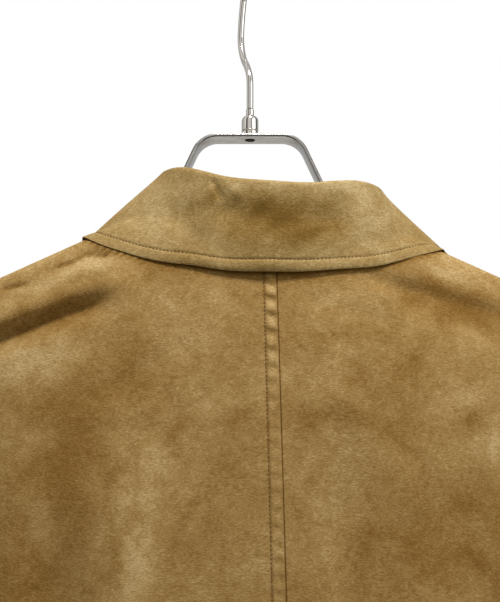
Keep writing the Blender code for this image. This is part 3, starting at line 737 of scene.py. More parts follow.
@dataclass
class ClothShell:
    """A thin closed shell: an outer skin, the inner skin one cloth behind it, and round rims."""

    name: str
    points: Array
    normals: Array
    thickness: Array | float
    ring: bool = False
    rim_steps: int = 3
    roll: float = 0.30
    meet: float = 0.2 * MM

    def perimeters(self) -> list[Array]:
        """The edge loops of the grid, as indices of its points."""
        rows, columns = self.points.shape[:2]
        index = np.arange(rows * columns).reshape(rows, columns)
        if self.ring:
            return [index[0], index[-1][::-1]]
        return [np.concatenate([index[0, :-1], index[:-1, -1], index[-1, :0:-1], index[:0:-1, 0]])]

    def build(self, face: bpy.types.Material, reverse: bpy.types.Material) -> bpy.types.Object:
        """Makes the shell's object.

        Args:
            face: the outer material.
            reverse: the inner one.

        Returns:
            The object.
        """
        rows, columns = self.points.shape[:2]
        outer = self.points.reshape(-1, 3).copy()
        thick = np.broadcast_to(self.thickness, (rows, columns)).reshape(-1, 1)
        inner = outer - self.normals.reshape(-1, 3) * thick
        index = np.arange(rows * columns).reshape(rows, columns)
        right = np.roll(index, -1, axis=1) if self.ring else index[:, 1:]
        here = index if self.ring else index[:, :-1]
        quads = np.stack([here[:-1], right[:-1], right[1:], here[1:]], axis=-1).reshape(-1, 4)
        count = rows * columns
        vertices, faces = [outer, inner], [quads, quads[:, ::-1] + count]
        total = 2 * count
        inward = self.inward(index)
        for loop in self.perimeters():
            bulge = -inward[loop] * (thick[loop] * self.roll + self.meet)
            outer[loop] += inward[loop] * thick[loop] * self.roll
            inner[loop] += inward[loop] * thick[loop] * self.roll
            levels = [loop]
            for step in range(1, self.rim_steps + 1):
                share = step / (self.rim_steps + 1)
                swell = math.sin(math.pi * share)
                vertices.append(lerp(outer[loop], inner[loop], share) + bulge * swell)
                levels.append(np.arange(total, total + len(loop)))
                total += len(loop)
            levels.append(loop + count)
            for near, far in zip(levels[:-1], levels[1:]):
                on, over = np.roll(near, -1), np.roll(far, -1)
                faces.append(np.stack([near, far, over, on], axis=-1))
        obj = mesh_object(self.name, np.concatenate(vertices), faces, [face, reverse])
        material_index = np.concatenate([np.full(len(part), int(k == 1)) for k, part in enumerate(faces)])
        obj.data.polygons.foreach_set("material_index", material_index.astype(np.int32))
        return obj

    def inward(self, index: Array) -> Array:
        """Finds, at each edge point, the way along the cloth into the piece.

        Args:
            index: the grid's point numbers.

        Returns:
            Unit vectors by point number, and zeros away from the edges.
        """
        flat = np.zeros((index.size, 3))
        points = self.points
        flat[index[0]] += unit(points[1] - points[0])
        flat[index[-1]] += unit(points[-2] - points[-1])
        if not self.ring:
            flat[index[:, 0]] += unit(points[:, 1] - points[:, 0])
            flat[index[:, -1]] += unit(points[:, -2] - points[:, -1])
        return flat


def mesh_object(name: str, vertices: Array, faces: Sequence[Array],
                materials: Sequence[bpy.types.Material]) -> bpy.types.Object:
    """Makes a smooth mesh object.

    Args:
        name: the object's name.
        vertices: its points.
        faces: arrays of faces, each with one number of corners.
        materials: its materials.

    Returns:
        The object, linked to the scene.
    """
    mesh = bpy.data.meshes.new(name)
    corners = np.concatenate([part.reshape(-1) for part in faces]).astype(np.int32)
    sizes = np.concatenate([np.full(len(part), part.shape[1]) for part in faces])
    mesh.vertices.add(len(vertices))
    mesh.vertices.foreach_set("co", np.asarray(vertices, np.float32).ravel())
    mesh.loops.add(len(corners))
    mesh.loops.foreach_set("vertex_index", corners)
    mesh.polygons.add(len(sizes))
    mesh.polygons.foreach_set("loop_start", (np.cumsum(sizes) - sizes).astype(np.int32))
    mesh.polygons.foreach_set("use_smooth", np.ones(len(sizes), bool))
    for material in materials:
        mesh.materials.append(material)
    mesh.update(calc_edges=True)
    mesh.validate()
    return linked(name, mesh)


def linked(name: str, data: bpy.types.ID) -> bpy.types.Object:
    """Makes an object of a mesh, curve, light or camera and puts it in the scene."""
    obj = bpy.data.objects.new(name, data)
    bpy.context.scene.collection.objects.link(obj)
    return obj


def drill(obj: bpy.types.Object, radius: float, depth: float, place: Sequence[float],
          sides: int) -> None:
    """Cuts a round upright hole through an object.

    Args:
        obj: the object.
        radius: of the hole.
        depth: the drill's length.
        place: the drill's middle.
        sides: how many sides the hole has.
    """
    bpy.ops.mesh.primitive_cylinder_add(vertices=sides, radius=radius, depth=depth, location=place)
    bit = bpy.context.object
    obj.modifiers.new("Hole", "BOOLEAN").object = bit
    evaluated = obj.evaluated_get(bpy.context.evaluated_depsgraph_get())
    mesh = bpy.data.meshes.new_from_object(evaluated)
    obj.modifiers.clear()
    obj.data = mesh
    bpy.data.objects.remove(bit)


def give_nap_and_shade(obj: bpy.types.Object, tone: Callable[[Array], Array]) -> None:
    """Stores each point's tone, the nap's own with any painted shade and highlights, for the suede finish.

    Args:
        obj: the cloth piece.
        tone: gives the tones of its points.
    """
    points = np.zeros(len(obj.data.vertices) * 3, np.float32)
    obj.data.vertices.foreach_get("co", points)
    attribute = obj.data.attributes.new("nap", "FLOAT", "POINT")
    attribute.data.foreach_set("value", tone(points.reshape(-1, 3)).astype(np.float32))


def dress(obj: bpy.types.Object, slot: Slot, *nodes: str) -> bpy.types.Object:
    """Lets a piece ride on the body and stand for its solids.

    Args:
        obj: the piece.
        slot: the record's slot of its finish; not used.
        nodes: the solids that it replaces.

    Returns:
        The piece.
    """
    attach(obj, "root")
    if nodes:
        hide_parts(*nodes)
    return obj


# ------------------------------------------------------------------ finishes


class NodeBench:
    """Adds and joins the nodes of one material."""

    def __init__(self, name: str) -> None:
        """Starts a material with its Principled shader."""
        self.material = bpy.data.materials.new(name)
        self.material.use_nodes = True
        self.tree = self.material.node_tree
        self.shader = self.tree.nodes["Principled BSDF"]
        self.place = self.add("ShaderNodeTexCoord").outputs["Object"]

    def add(self, kind: str, **settings: object) -> bpy.types.Node:
        """Adds a node.

        Args:
            kind: Blender's name of the node's type.
            settings: its properties.

        Returns:
            The node.
        """
        node = self.tree.nodes.new(kind)
        for name, value in settings.items():
            setattr(node, name, value)
        return node

    def feed(self, socket: bpy.types.NodeSocket, value: object) -> None:
        """Sets a socket to a number, or joins another socket to it."""
        if isinstance(value, bpy.types.NodeSocket):
            self.tree.links.new(value, socket)
        else:
            socket.default_value = value

    def math(self, operation: str, *values: object) -> bpy.types.NodeSocket:
        """Combines numbers or sockets with a Math node.

        Args:
            operation: Blender's name of the operation.
            values: its inputs.

        Returns:
            The result's socket.
        """
        node = self.add("ShaderNodeMath", operation=operation)
        for socket, value in zip(node.inputs, values):
            self.feed(socket, value)
        return node.outputs[0]

    def noise(self, scale: float, detail: float = 3.0, roughness: float = 0.55,
              distortion: float = 0.0, stretch: tuple[float, float, float] = (1, 1, 1),
              centre: bool = True) -> bpy.types.NodeSocket:
        """Adds noise over the piece's own place.

        Args:
            scale: how many features there are in a metre.
            detail: how many finer layers it has.
            roughness: how strong those are.
            distortion: how much it swirls.
            stretch: how much closer together the features lie along each axis.
            centre: whether it swings about 0 and not about a half.

        Returns:
            The noise's socket.
        """
        mapping = self.add("ShaderNodeMapping")
        mapping.inputs["Scale"].default_value = stretch
        self.feed(mapping.inputs["Vector"], self.place)
        node = self.add("ShaderNodeTexNoise")
        self.feed(node.inputs["Vector"], mapping.outputs["Vector"])
        for name, value in (("Scale", scale), ("Detail", detail), ("Roughness", roughness),
                            ("Distortion", distortion)):
            node.inputs[name].default_value = value
        return self.math("SUBTRACT", node.outputs[0], 0.5) if centre else node.outputs[0]

    def total(self, *parts: tuple[bpy.types.NodeSocket, float],
              base: float = 0.0) -> bpy.types.NodeSocket:
        """Adds sockets, each times its own weight.

        Args:
            parts: sockets and weights.
            base: what the sum starts from.

        Returns:
            The sum's socket.
        """
        result: object = base
        for socket, weight in parts:
            result = self.math("MULTIPLY_ADD", socket, weight, result)
        return result

    def ramp(self, share: bpy.types.NodeSocket,
             stops: Sequence[tuple[float, tuple[float, float, float]]]) -> bpy.types.NodeSocket:
        """Turns a share into a colour.

        Args:
            share: a socket from 0 to 1.
            stops: places from 0 to 1 and their colours.

        Returns:
            The colour's socket.
        """
        node = self.add("ShaderNodeValToRGB")
        elements = node.color_ramp.elements
        while len(elements) < len(stops):
            elements.new(0.5)
        for element, (place, colour) in zip(elements, stops):
            element.position = place
            element.color = (*colour, 1)
        self.feed(node.inputs["Fac"], share)
        return node.outputs["Color"]

    def bump(self, height: bpy.types.NodeSocket, distance: float, strength: float = 1.0,
             over: bpy.types.NodeSocket | None = None) -> bpy.types.NodeSocket:
        """Roughens the surface.

        Args:
            height: the relief's socket.
            distance: how high 1 stands, in metres.
            strength: how strongly it shows.
            over: another bump's result that this one is added to.

        Returns:
            The new normal's socket.
        """
        node = self.add("ShaderNodeBump")
        node.inputs["Distance"].default_value = distance
        node.inputs["Strength"].default_value = strength
        self.feed(node.inputs["Height"], height)
        if over is not None:
            self.feed(node.inputs["Normal"], over)
        return node.outputs["Normal"]

    def finish(self, **values: object) -> bpy.types.Material:
        """Sets the shader's sockets.

        Args:
            values: sockets or numbers by socket name, with _ for a space.

        Returns:
            The material.
        """
        for name, value in values.items():
            self.feed(self.shader.inputs[name.replace("_", " ")], value)
        return self.material


@dataclass(frozen=True)
class SuedeFinish:
    """Brushed microfibre suede: cloudy where the nap lies one way or the other, darker and lighter where the
    pieces' tones paint shade and highlights.
    """

    name: str = "brushed_suede"
    deep: tuple[float, float, float] = (0.042, 0.018, 0.0015)
    dark: tuple[float, float, float] = (0.115, 0.055, 0.0085)
    brown: tuple[float, float, float] = (0.174, 0.094, 0.0235)
    middle: tuple[float, float, float] = (0.255, 0.160, 0.0565)
    light: tuple[float, float, float] = (0.487, 0.372, 0.190)
    cloud: float = 0.34
    blotch: float = 0.40
    mottle: float = 0.30
    fleck: float = 0.27
    grain: float = 0.74

    def make(self) -> bpy.types.Material:
        """Builds the material from clouds, blotches, flecks and the pieces' own tones of nap and painted
        shade.
        """
        bench = NodeBench(self.name)
        # Each piece's stored tone: its nap and its painted shade and highlights.
        nap = bench.add("ShaderNodeAttribute", attribute_name="nap").outputs["Fac"]
        cloud = bench.noise(10, 3, 0.55, 0.5)
        blotch = bench.noise(31, 3, 0.55, 0.8)
        mottle = bench.noise(85, 4, 0.60, 1.3)
        fleck = bench.noise(260, 3, 0.60, 0.0, stretch=(0.8, 0.8, 1.25))
        grain = bench.noise(820, 2, 0.6, 0.0, stretch=(0.6, 0.6, 1.5))
        tone = bench.total((cloud, self.cloud), (blotch, self.blotch), (mottle, self.mottle),
                           (fleck, self.fleck), (grain, self.grain), (nap, 1.0), base=0.43)
        share = bench.math("MULTIPLY_ADD", tone, 2 / 3, 1 / 3)
        colour = bench.ramp(share, ((0.0, self.deep), (1 / 3, self.dark), (0.5, self.brown),
                                    (2 / 3, self.middle), (1.0, self.light)))
        pile = bench.total((fleck, 0.5), (grain, 1.0))
        normal = bench.bump(pile, 0.0006, 0.55)
        return bench.finish(Base_Color=colour, Roughness=0.92, Normal=normal,
                            Specular_IOR_Level=0.06, Sheen_Weight=0.07, Sheen_Roughness=0.50,
                            Sheen_Tint=(1.0, 0.80, 0.46, 1))


@dataclass(frozen=True)
class ReverseFinish:
    """The cloth's unbrushed inner face: paler, flatter and faintly knitted."""

    name: str = "suede_reverse"
    dark: tuple[float, float, float] = (0.25, 0.155, 0.060)
    light: tuple[float, float, float] = (0.42, 0.285, 0.130)

    def make(self) -> bpy.types.Material:
        """Builds the material from soft clouds and a fine knit."""
        bench = NodeBench(self.name)
        cloud = bench.noise(24, 3, 0.5)
        grain = bench.noise(900, 2, 0.5, stretch=(1, 1, 0.5))
        tone = bench.total((cloud, 0.5), (grain, 0.25), base=0.5)
        colour = bench.ramp(tone, ((0.0, self.dark), (1.0, self.light)))
        return bench.finish(Base_Color=colour, Roughness=0.95, Normal=bench.bump(grain, 0.0004, 0.4),
                            Specular_IOR_Level=0.15, Sheen_Weight=0.12)


@dataclass(frozen=True)
class ThreadFinish:
    """Twisted polyester sewing thread, partly its own darker brown and partly painted shade of the needle
    holes it sits in.
    """

    name: str = "sewing_thread_hole_shade"
    # Painted shade: far darker than the thread itself, for the dark needle holes.
    colour: tuple[float, float, float] = (0.078, 0.040, 0.010)
    worn: tuple[float, float, float] = (0.145, 0.080, 0.024)

    def make(self) -> bpy.types.Material:
        """Builds the material with the thread's twist as fine bands."""
        bench = NodeBench(self.name)
        shade = bench.noise(600, 2, centre=False)
        twist = bench.noise(2600, 1)
        colour = bench.ramp(shade, ((0.25, self.colour), (0.75, self.worn)))
        return bench.finish(Base_Color=colour, Roughness=0.62, Normal=bench.bump(twist, 0.0002, 0.5),
                            Specular_IOR_Level=0.15)


@dataclass(frozen=True)
class SteelFinish:
    """Nickel-plated steel, satin on the bar and polished on the hook."""

    name: str
    colour: tuple[float, float, float]
    smoothest: float
    dullest: float
    streaks: tuple[float, float, float]
    fade: float = 0.0

    def make(self) -> bpy.types.Material:
        """Builds the material with its polishing streaks, and darker and duller towards +Y over the fade:
        painted shade on the bar's near side.
        """
        bench = NodeBench(self.name)
        streak = bench.noise(140, 4, 0.6, stretch=self.streaks, centre=False)
        # Painted shade: darker and rougher towards +Y.
        if self.fade:
            across = bench.add("ShaderNodeSeparateXYZ")
            bench.feed(across.inputs[0], bench.place)
            streak = bench.total((across.outputs["Y"], -0.30 / self.fade), (streak, 0.6), base=0.20)
        smudge = bench.noise(30, 3, 0.5)
        spread = self.dullest - self.smoothest
        rough = bench.total((streak, spread), (smudge, spread * 0.5), base=self.smoothest)
        dull = 0.55 if self.fade else 0.90
        tint = bench.ramp(streak, ((0.2, tuple(c * dull for c in self.colour)), (0.8, self.colour)))
        return bench.finish(Base_Color=tint, Metallic=1.0, Roughness=rough,
                            Normal=bench.bump(streak, 0.00005, 0.25))


@dataclass(frozen=True)
class HornFinish:
    """Polished horn-like plastic with pale streaks."""

    name: str = "horn_button"
    dark: tuple[float, float, float] = (0.030, 0.016, 0.008)
    light: tuple[float, float, float] = (0.200, 0.115, 0.050)

    def make(self) -> bpy.types.Material:
        """Builds the material from swirled streaks."""
        bench = NodeBench(self.name)
        swirl = bench.noise(130, 5, 0.6, 2.2, stretch=(1, 1, 0.35), centre=False)
        colour = bench.ramp(swirl, ((0.38, self.dark), (0.72, self.light)))
        scratch = bench.noise(1500, 2)
        return bench.finish(Base_Color=colour, Roughness=0.32, Normal=bench.bump(scratch, 0.0001, 0.15),
                            Coat_Weight=0.25, Coat_Roughness=0.12)


@dataclass
class Finishes:
    """Every finish of the jacket and its hanger, made once."""

    suede: bpy.types.Material = field(default_factory=lambda: SuedeFinish().make())
    collar: bpy.types.Material = field(default_factory=lambda: SuedeFinish(
        "brushed_suede_collar", (0.045, 0.022, 0.0025), (0.110, 0.060, 0.0110),
        (0.166, 0.100, 0.0275), (0.253, 0.173, 0.069), (0.480, 0.388, 0.215)).make())
    reverse: bpy.types.Material = field(default_factory=lambda: ReverseFinish().make())
    thread: bpy.types.Material = field(default_factory=lambda: ThreadFinish().make())
    horn: bpy.types.Material = field(default_factory=lambda: HornFinish().make())
    # The satin bar darkens towards +Y over 10 mm: painted shade.
    satin: bpy.types.Material = field(default_factory=lambda: SteelFinish(
        "satin_steel", (0.76, 0.73, 0.69), 0.20, 0.30, (0.3, 5.0, 5.0), fade=0.010).make())
    polished: bpy.types.Material = field(default_factory=lambda: SteelFinish(
        "polished_steel", (0.78, 0.74, 0.68), 0.06, 0.14, (5.0, 5.0, 0.3)).make())
    # Near-black steel on the bar's inner bevels: a painted dark line of shade.
    edge: bpy.types.Material = field(default_factory=lambda: SteelFinish(
        "dark_bevel_shade_steel", (0.035, 0.026, 0.019), 0.50, 0.60, (0.3, 5.0, 5.0)).make())
    # Near-black steel on the pivot's pin below the bar: painted shade of a dark recess.
    pin_shade: bpy.types.Material = field(default_factory=lambda: SteelFinish(
        "pin_shade_steel", (0.035, 0.032, 0.030), 0.45, 0.60, (1.0, 1.0, 1.0)).make())


# ------------------------------------------------------------------ stitches


@dataclass
class Topstitching:
    """Rows of machine stitches, each a short sunken bead of thread, joined in one mesh."""

    name: str
    pitch: float = STITCH_PITCH
    length: float = 1.6 * MM
    radius: float = 0.39 * MM
    sides: int = 6
    rings: int = 5
    points: list[Array] = field(default_factory=list)
    frames: list[tuple[Array, Array]] = field(default_factory=list)

    def run(self, path: Array, normals: Array, sink: float = 0.12 * MM) -> None:
        """Adds a row of stitches.

        Args:
            path: points along the row on the cloth's outer face.
            normals: the cloth's directions there.
            sink: how far the thread's middle lies below its own radius.
        """
        steps = np.linalg.norm(np.diff(path, axis=0), axis=1)
        travel = np.concatenate([[0.0], np.cumsum(steps)])
        centres = np.arange(self.pitch / 2, travel[-1], self.pitch)

        def read(values: Array, places: Array) -> Array:
            """Points or directions at places along the row."""
            return np.stack([np.interp(places, travel, values[:, k]) for k in range(3)], axis=-1)

        middle, up = read(path, centres), unit(read(normals, centres))
        half = self.length / 2
        along = unit(read(path, centres + half) - read(path, centres - half))
        side = unit(np.cross(up, along))
        wobble = 0.08 * MM * np.sin(centres / (5.3 * MM)) + 0.06 * MM * np.sin(centres / (1.9 * MM))
        self.points.append(middle + up * (self.radius - sink) + side * wobble[:, None])
        self.frames.append((along, side))

    def build(self, thread: bpy.types.Material, slot: Slot) -> bpy.types.Object:
        """Makes the stitches' object.

        Args:
            thread: their material.
            slot: the record's slot of the cloth that they are sewn in.

        Returns:
            The object.
        """
        place = np.linspace(-1, 1, self.rings)
        swell = self.radius * np.sqrt(np.maximum(1 - np.abs(place) ** 3, 0.06))
        turn = np.arange(self.sides) * TAU / self.sides
        sag = -0.22 * MM * place**2
        centres = np.concatenate(self.points)
        along, side = (np.concatenate(parts) for parts in zip(*self.frames))
        up = np.cross(along, side)
        ring = (along[:, None, None, :] * (place * self.length / 2)[None, :, None, None]
                + side[:, None, None, :] * (swell[:, None] * np.cos(turn))[None, :, :, None]
                + up[:, None, None, :] * (swell[:, None] * np.sin(turn) + sag[:, None])[None, :, :, None])
        vertices = (centres[:, None, None, :] + ring).reshape(-1, 3)
        each = self.rings * self.sides
        index = np.arange(each).reshape(self.rings, self.sides)
        right = np.roll(index, -1, axis=1)
        quads = np.stack([index[:-1], right[:-1], right[1:], index[1:]], axis=-1).reshape(-1, 4)
        caps = np.stack([index[0][::-1], index[-1]])
        shift = (np.arange(len(centres)) * each)[:, None, None]
        obj = mesh_object(self.name, vertices, [(quads[None] + shift).reshape(-1, 4),
                                                (caps[None] + shift).reshape(-1, self.sides)], [thread])
        return dress(obj, slot)


# ------------------------------------------------------------------ body panels


@dataclass
class BodyPanel:
    """A front or back panel, from the neck and shoulder to the hem."""

    cut: JacketCut
    face: Face
    side: Side
    flat: tuple[float, float]
    area: float
    # Where the collar's free edge lies on the back: a painted shadow line is laid under it.
    collar_shadow_edge: tuple[Array, Array] | None = None
    neck_columns: int = 46
    shoulder_columns: int = 44
    edge_zone: float = 13 * MM
    row_step: float = 1.6 * MM
    skirt_step: float = 5.0 * MM

    @property
    def node(self) -> str:
        """The panel's solid."""
        return f"{self.face.name.lower()}_{self.side.name.lower()}"

    def tops(self) -> Array:
        """Finds where the panel's columns meet its top edge.

        Returns:
            x from the centre edge to the shoulder tip, closest at the edges and the neck's corner.
        """
        cut, sign = self.cut, self.side.value
        start = float(cut.centre_x(self.face, self.side, cut.neck(np.array(0.0))[2]))
        near = start + sign * np.array([0, .35, .7, 1.1, 1.6, 2.3, 3.1, 4, 5, 6, 6.9, 7.7, 8.3, 8.8,
                                        9.2, 9.6, 10.1, 10.8, 11.8]) * MM
        first = start + sign * self.edge_zone
        angle = np.arcsin((first - cut.hang_x) / cut.neck_half)
        angles = np.linspace(angle, sign * math.pi / 2, self.neck_columns)
        neck = cut.hang_x + cut.neck_half * np.sin(angles)
        reach = np.sin(math.pi / 2 * np.arange(1, self.shoulder_columns + 1) / self.shoulder_columns)
        shoulder = cut.hang_x + sign * lerp(cut.neck_half, cut.shoulder_half, reach)
        return np.concatenate([near, neck, shoulder])

    def grid(self) -> tuple[Array, Array]:
        """Finds the panel's outer face.

        Returns:
            Rows by columns of points, from the top edge to the hem, and the directions there of
            the form under the seams and creases.
        """
        cut = self.cut
        tops = self.tops()
        share = (tops - tops[0]) / (tops[-1] - tops[0])
        arm_z = cut.underarm(self.side)[1]
        drop = np.array([0, .3, .6, 1, 1.5, 2.1, 3, 4, 5.5, 7.2, 9]) * MM
        drop = np.concatenate([drop, np.arange(11 * MM, cut.armhole_drop, self.row_step)])
        part = np.append(drop, cut.armhole_drop)[:, None] / cut.armhole_drop
        upper = lerp(cut.top(self.face, tops)[0][None, :], arm_z, part)
        hem_rows = cut.hem_z + np.array([24, 22.5, 21.5, 20.5, 19.7, 19, 18, 16, 12, 8, 4, 2, 0]) * MM
        skirt = np.concatenate([np.arange(arm_z - self.skirt_step, hem_rows[0], -self.skirt_step),
                                hem_rows])
        z = np.concatenate([upper, np.repeat(skirt[:, None], len(tops), axis=1)])
        inner, outer = (edge(self.face, self.side, z) for edge in (cut.centre_x, cut.armhole_x))
        x = lerp(inner, outer, share[None, :])
        fade = np.zeros(len(z))
        fade[:len(part)] = (1 - part[:, 0]) ** 6
        x = x + (tops - x[0])[None, :] * fade[:, None]
        order = slice(None, None, self.side.value * self.face.value)
        plain = cut.skin(self.face, self.side, x, z, fine=False)[:, order]
        return cut.skin(self.face, self.side, x, z)[:, order], grid_normals(plain)

    def tone(self, points: Array) -> Array:
        """Finds the nap's tone, with painted shade and highlights on the back.

        Args:
            points: places on the panel.

        Returns:
            Their tones.
        """
        x, z = points[:, 0], points[:, 2]
        if self.face is Face.BACK:
            distance = (x - self.cut.seam_centre(z)) * self.side.value
            tone = CENTRE_SEAM.tone(self.side, distance, z)
            # Painted shadow: a dark line along the collar's free edge and a softer shadow below it.
            if self.collar_shadow_edge:
                below = np.interp(x, *self.collar_shadow_edge) - z
                tone = tone - 0.60 * bell(below, 1.5 * MM) - 0.12 * bell(below - 3 * MM, 4 * MM)
            return tone + sum(patch.shade(x, z) for patch in BACK_NAP_AND_SHADE)
        return sum(patch.shade(x, z) for patch in FRONT_NAP)

    def build(self, finishes: Finishes) -> bpy.types.Object:
        """Makes and dresses the panel.

        Args:
            finishes: the materials.

        Returns:
            The panel's object.
        """
        points, normals = self.grid()
        shell = ClothShell(f"{self.node}_cloth", points, normals, CLOTH, roll=0.12)
        obj = shell.build(finishes.suede, finishes.reverse)
        give_nap_and_shade(obj, self.tone)
        dress(obj, Slot.SUEDE, self.node)
        return obj

    def vertical_run(self, distance: float, top_gap: float = 1.5 * MM) -> tuple[Array, Array]:
        """Finds a line down the panel beside its centre edge.

        Args:
            distance: from that edge.
            top_gap: how far below the neck seam it starts.

        Returns:
            The line's points and directions.
        """
        cut, sign = self.cut, self.side.value
        start = float(cut.top(self.face, cut.centre_x(self.face, self.side, -0.26) + sign * distance)[0])
        z = np.arange(start - top_gap, cut.hem_z + 2 * MM, -1.0 * MM)
        x = cut.centre_x(self.face, self.side, z) + sign * distance
        return (cut.skin(self.face, self.side, x, z),
                cut.skin_normal(self.face, self.side, x, z))

    def hem_run(self) -> tuple[Array, Array]:
        """Finds the hem's stitching line.

        Returns:
            The line's points and directions.
        """
        cut = self.cut
        z = cut.hem_z + HEM_EDGE.stitch
        ends = [float(edge(self.face, self.side, np.array(z))) for edge in (cut.centre_x, cut.armhole_x)]
        share = np.sin(math.pi / 2 * np.linspace(0.004, 0.985, 400))
        x = lerp(ends[0], ends[1], share)
        return (cut.skin(self.face, self.side, x, np.full_like(x, z)),
                cut.skin_normal(self.face, self.side, x, np.full_like(x, z)))


# ------------------------------------------------------------------ sleeves and cuffs


@dataclass(frozen=True)
class SleeveFold:
    """A crease of a sleeve: where it lies along (0 to 1) and round it (degrees, 0 outer, 90
    back), how far it slants along over its reach, half-width along, reach round, rise in mm."""

    along: float
    round: float
    slant: float
    width: float
    reach: float
    rise: float

    def height(self, along: Array, degrees: Array) -> Array:
        """How far the crease moves the cloth out.

        Args:
            along: places along the sleeve.
            degrees: places round it.

        Returns:
            The rise there, in metres.
        """
        turn = (degrees - self.round + 180) % 360 - 180
        across = along - self.along - self.slant * turn / self.reach
        return self.rise * MM * np.exp(-((across / self.width) ** 2) - (turn / self.reach) ** 2)


SLEEVE_FOLDS = tuple(SleeveFold(*sizes) for sizes in (
    (0.30, 150, 0.10, 0.040, 70, -6.0),
    (0.47, 215, -0.08, 0.035, 75, -6.5),
    (0.56, 185, 0.06, 0.035, 70, -6.0),
    (0.66, 240, -0.06, 0.040, 60, -5.0),
    (0.84, 120, 0.05, 0.040, 60, -4.0),
))
SLEEVE_CREASES = tuple(SleeveFold(*sizes) for sizes in (
    (0.12, 95, 0.05, 0.022, 34, -1.6),
    (0.20, 230, -0.06, 0.024, 38, -1.8),
    (0.38, 110, 0.06, 0.020, 36, 1.5),
    (0.44, 150, 0.03, 0.018, 42, -2.0),
    (0.52, 250, -0.05, 0.018, 36, -2.0),
    (0.61, 130, 0.04, 0.020, 40, -1.8),
    (0.73, 200, -0.05, 0.022, 44, -1.8),
    (0.78, 320, 0.04, 0.025, 36, 1.3),
    (0.91, 240, -0.03, 0.020, 50, -1.8),
    (0.94, 60, 0.03, 0.018, 42, -1.4),
))
RING_COLUMNS = ("outer_out", "outer_down", "inner_out", "inner_down", "depth")
RING_ROWS = (
    (15, 9, 3, 5, 50),
    (39, 27, 8, 16, 57),
    (66, 60, 12, 36, 61),
    (88, 112, 13, 64, 62),
    (102, 175, 13, 100, 61),
    (110, 245, 14, 142, 59),
    (115, 318, 17, 188, 57),
    (118, 392, 22, 232, 53),
    (119, 460, 29, 267, 48),
    (117, 530, 37, 298, 42),
)
RINGS = curves(RING_COLUMNS, RING_ROWS, scale=MM)


@dataclass
class Sleeve:
    """A one-piece sleeve from the armhole to the cuff seam."""

    cut: JacketCut
    side: Side
    flat: tuple[float, float] = (0.420, 0.560)
    area: float = 0.155
    around: int = 120
    cap_rows: int = 9
    rows: int = 125

    @property
    def node(self) -> str:
        """The sleeve's solid."""
        return f"sleeve_{self.side.name.lower()}"

    def armhole(self, angle: Array) -> Array:
        """Finds the sleeve's top edge along the armhole.

        Args:
            angle: round the sleeve, 0 at the shoulder tip and a quarter turn at the back.

        Returns:
            The points.
        """
        cut, sign = self.cut, self.side.value
        tip_z, arm_z = cut.tip(self.side)[1], cut.underarm(self.side)[1]
        z = lerp(tip_z, arm_z, ((1 - np.cos(angle)) / 2) ** 1.45)
        back = np.sin(angle) >= 0
        found = []
        for face in Face:
            x = cut.armhole_x(face, self.side, z)
            found.append(cut.skin(face, self.side, x, z, fine=False))
        points = np.where(back[:, None], found[0], found[1])
        low = smooth(-np.cos(angle) * 4 - 3)
        return points + stack(sign * SEAM_GAP, 0, SEAM_GAP * low)

    def ring(self, along: Array, angle: Array) -> Array:
        """Finds points of the sleeve below its first ring.

        Args:
            along: 0 at the first ring and 1 at the cuff seam.
            angle: round the sleeve.

        Returns:
            The points.
        """
        sign = self.side.value
        size = {name: curve.at(along * (len(RING_ROWS) - 1)) for name, curve in RINGS.items()}
        (tip_x, tip_z), (arm_x, arm_z) = self.cut.tip(self.side), self.cut.underarm(self.side)
        outer_x, outer_z = tip_x + sign * size["outer_out"], tip_z - size["outer_down"]
        inner_x, inner_z = arm_x + sign * size["inner_out"], arm_z - size["inner_down"]
        degrees = np.degrees(angle)
        shift = 0.0 if self.side is Side.LEFT else 0.02
        rise = sum(fold_.height(along, degrees) for fold_ in SLEEVE_FOLDS)
        rise = rise + sum(crease.height(along - shift, degrees + 500 * shift) for crease in SLEEVE_CREASES)
        swell = 1 + rise / size["depth"]
        arm = np.cos(angle) * swell / 2
        return stack((outer_x + inner_x) / 2 + (outer_x - inner_x) * arm,
                     size["depth"] * np.sin(angle) * swell,
                     (outer_z + inner_z) / 2 + (outer_z - inner_z) * arm)

    def grid(self) -> Array:
        """Finds the sleeve's outer face.

        Returns:
            Rings of points, from the armhole to the cuff seam.
        """
        angle = np.arange(self.around) * TAU / self.around
        first = self.armhole(angle)
        near = self.ring(np.zeros_like(angle), angle)
        slope = (self.ring(np.full_like(angle, 0.01), angle) - near) / 0.01
        span = np.linalg.norm(near - first, axis=1, keepdims=True)
        leave = near - first
        arrive = unit(slope) * span
        rings = []
        for t in np.linspace(0, 1, self.cap_rows, endpoint=False):
            rings.append((2 * t**3 - 3 * t**2 + 1) * first + (t**3 - 2 * t**2 + t) * leave
                         + (3 * t**2 - 2 * t**3) * near + (t**3 - t**2) * arrive)
        along = np.linspace(0, 1, self.rows)[:, None]
        body = self.ring(along, np.repeat(angle[None, :], self.rows, axis=0))
        points = np.concatenate([np.array(rings), body])
        return points[:, ::-1] if self.side is Side.LEFT else points

    def build(self, finishes: Finishes) -> bpy.types.Object:
        """Makes and dresses the sleeve.

        Args:
            finishes: the materials.

        Returns:
            The sleeve's object.
        """
        points = self.grid()
        normals = grid_normals(points, ring=True)
        shell = ClothShell(f"{self.node}_cloth", points, normals, CLOTH, ring=True)
        obj = shell.build(finishes.suede, finishes.reverse)
        give_nap_and_shade(obj, lambda places: np.zeros(len(places)))
        dress(obj, Slot.SUEDE, self.node)
        return obj


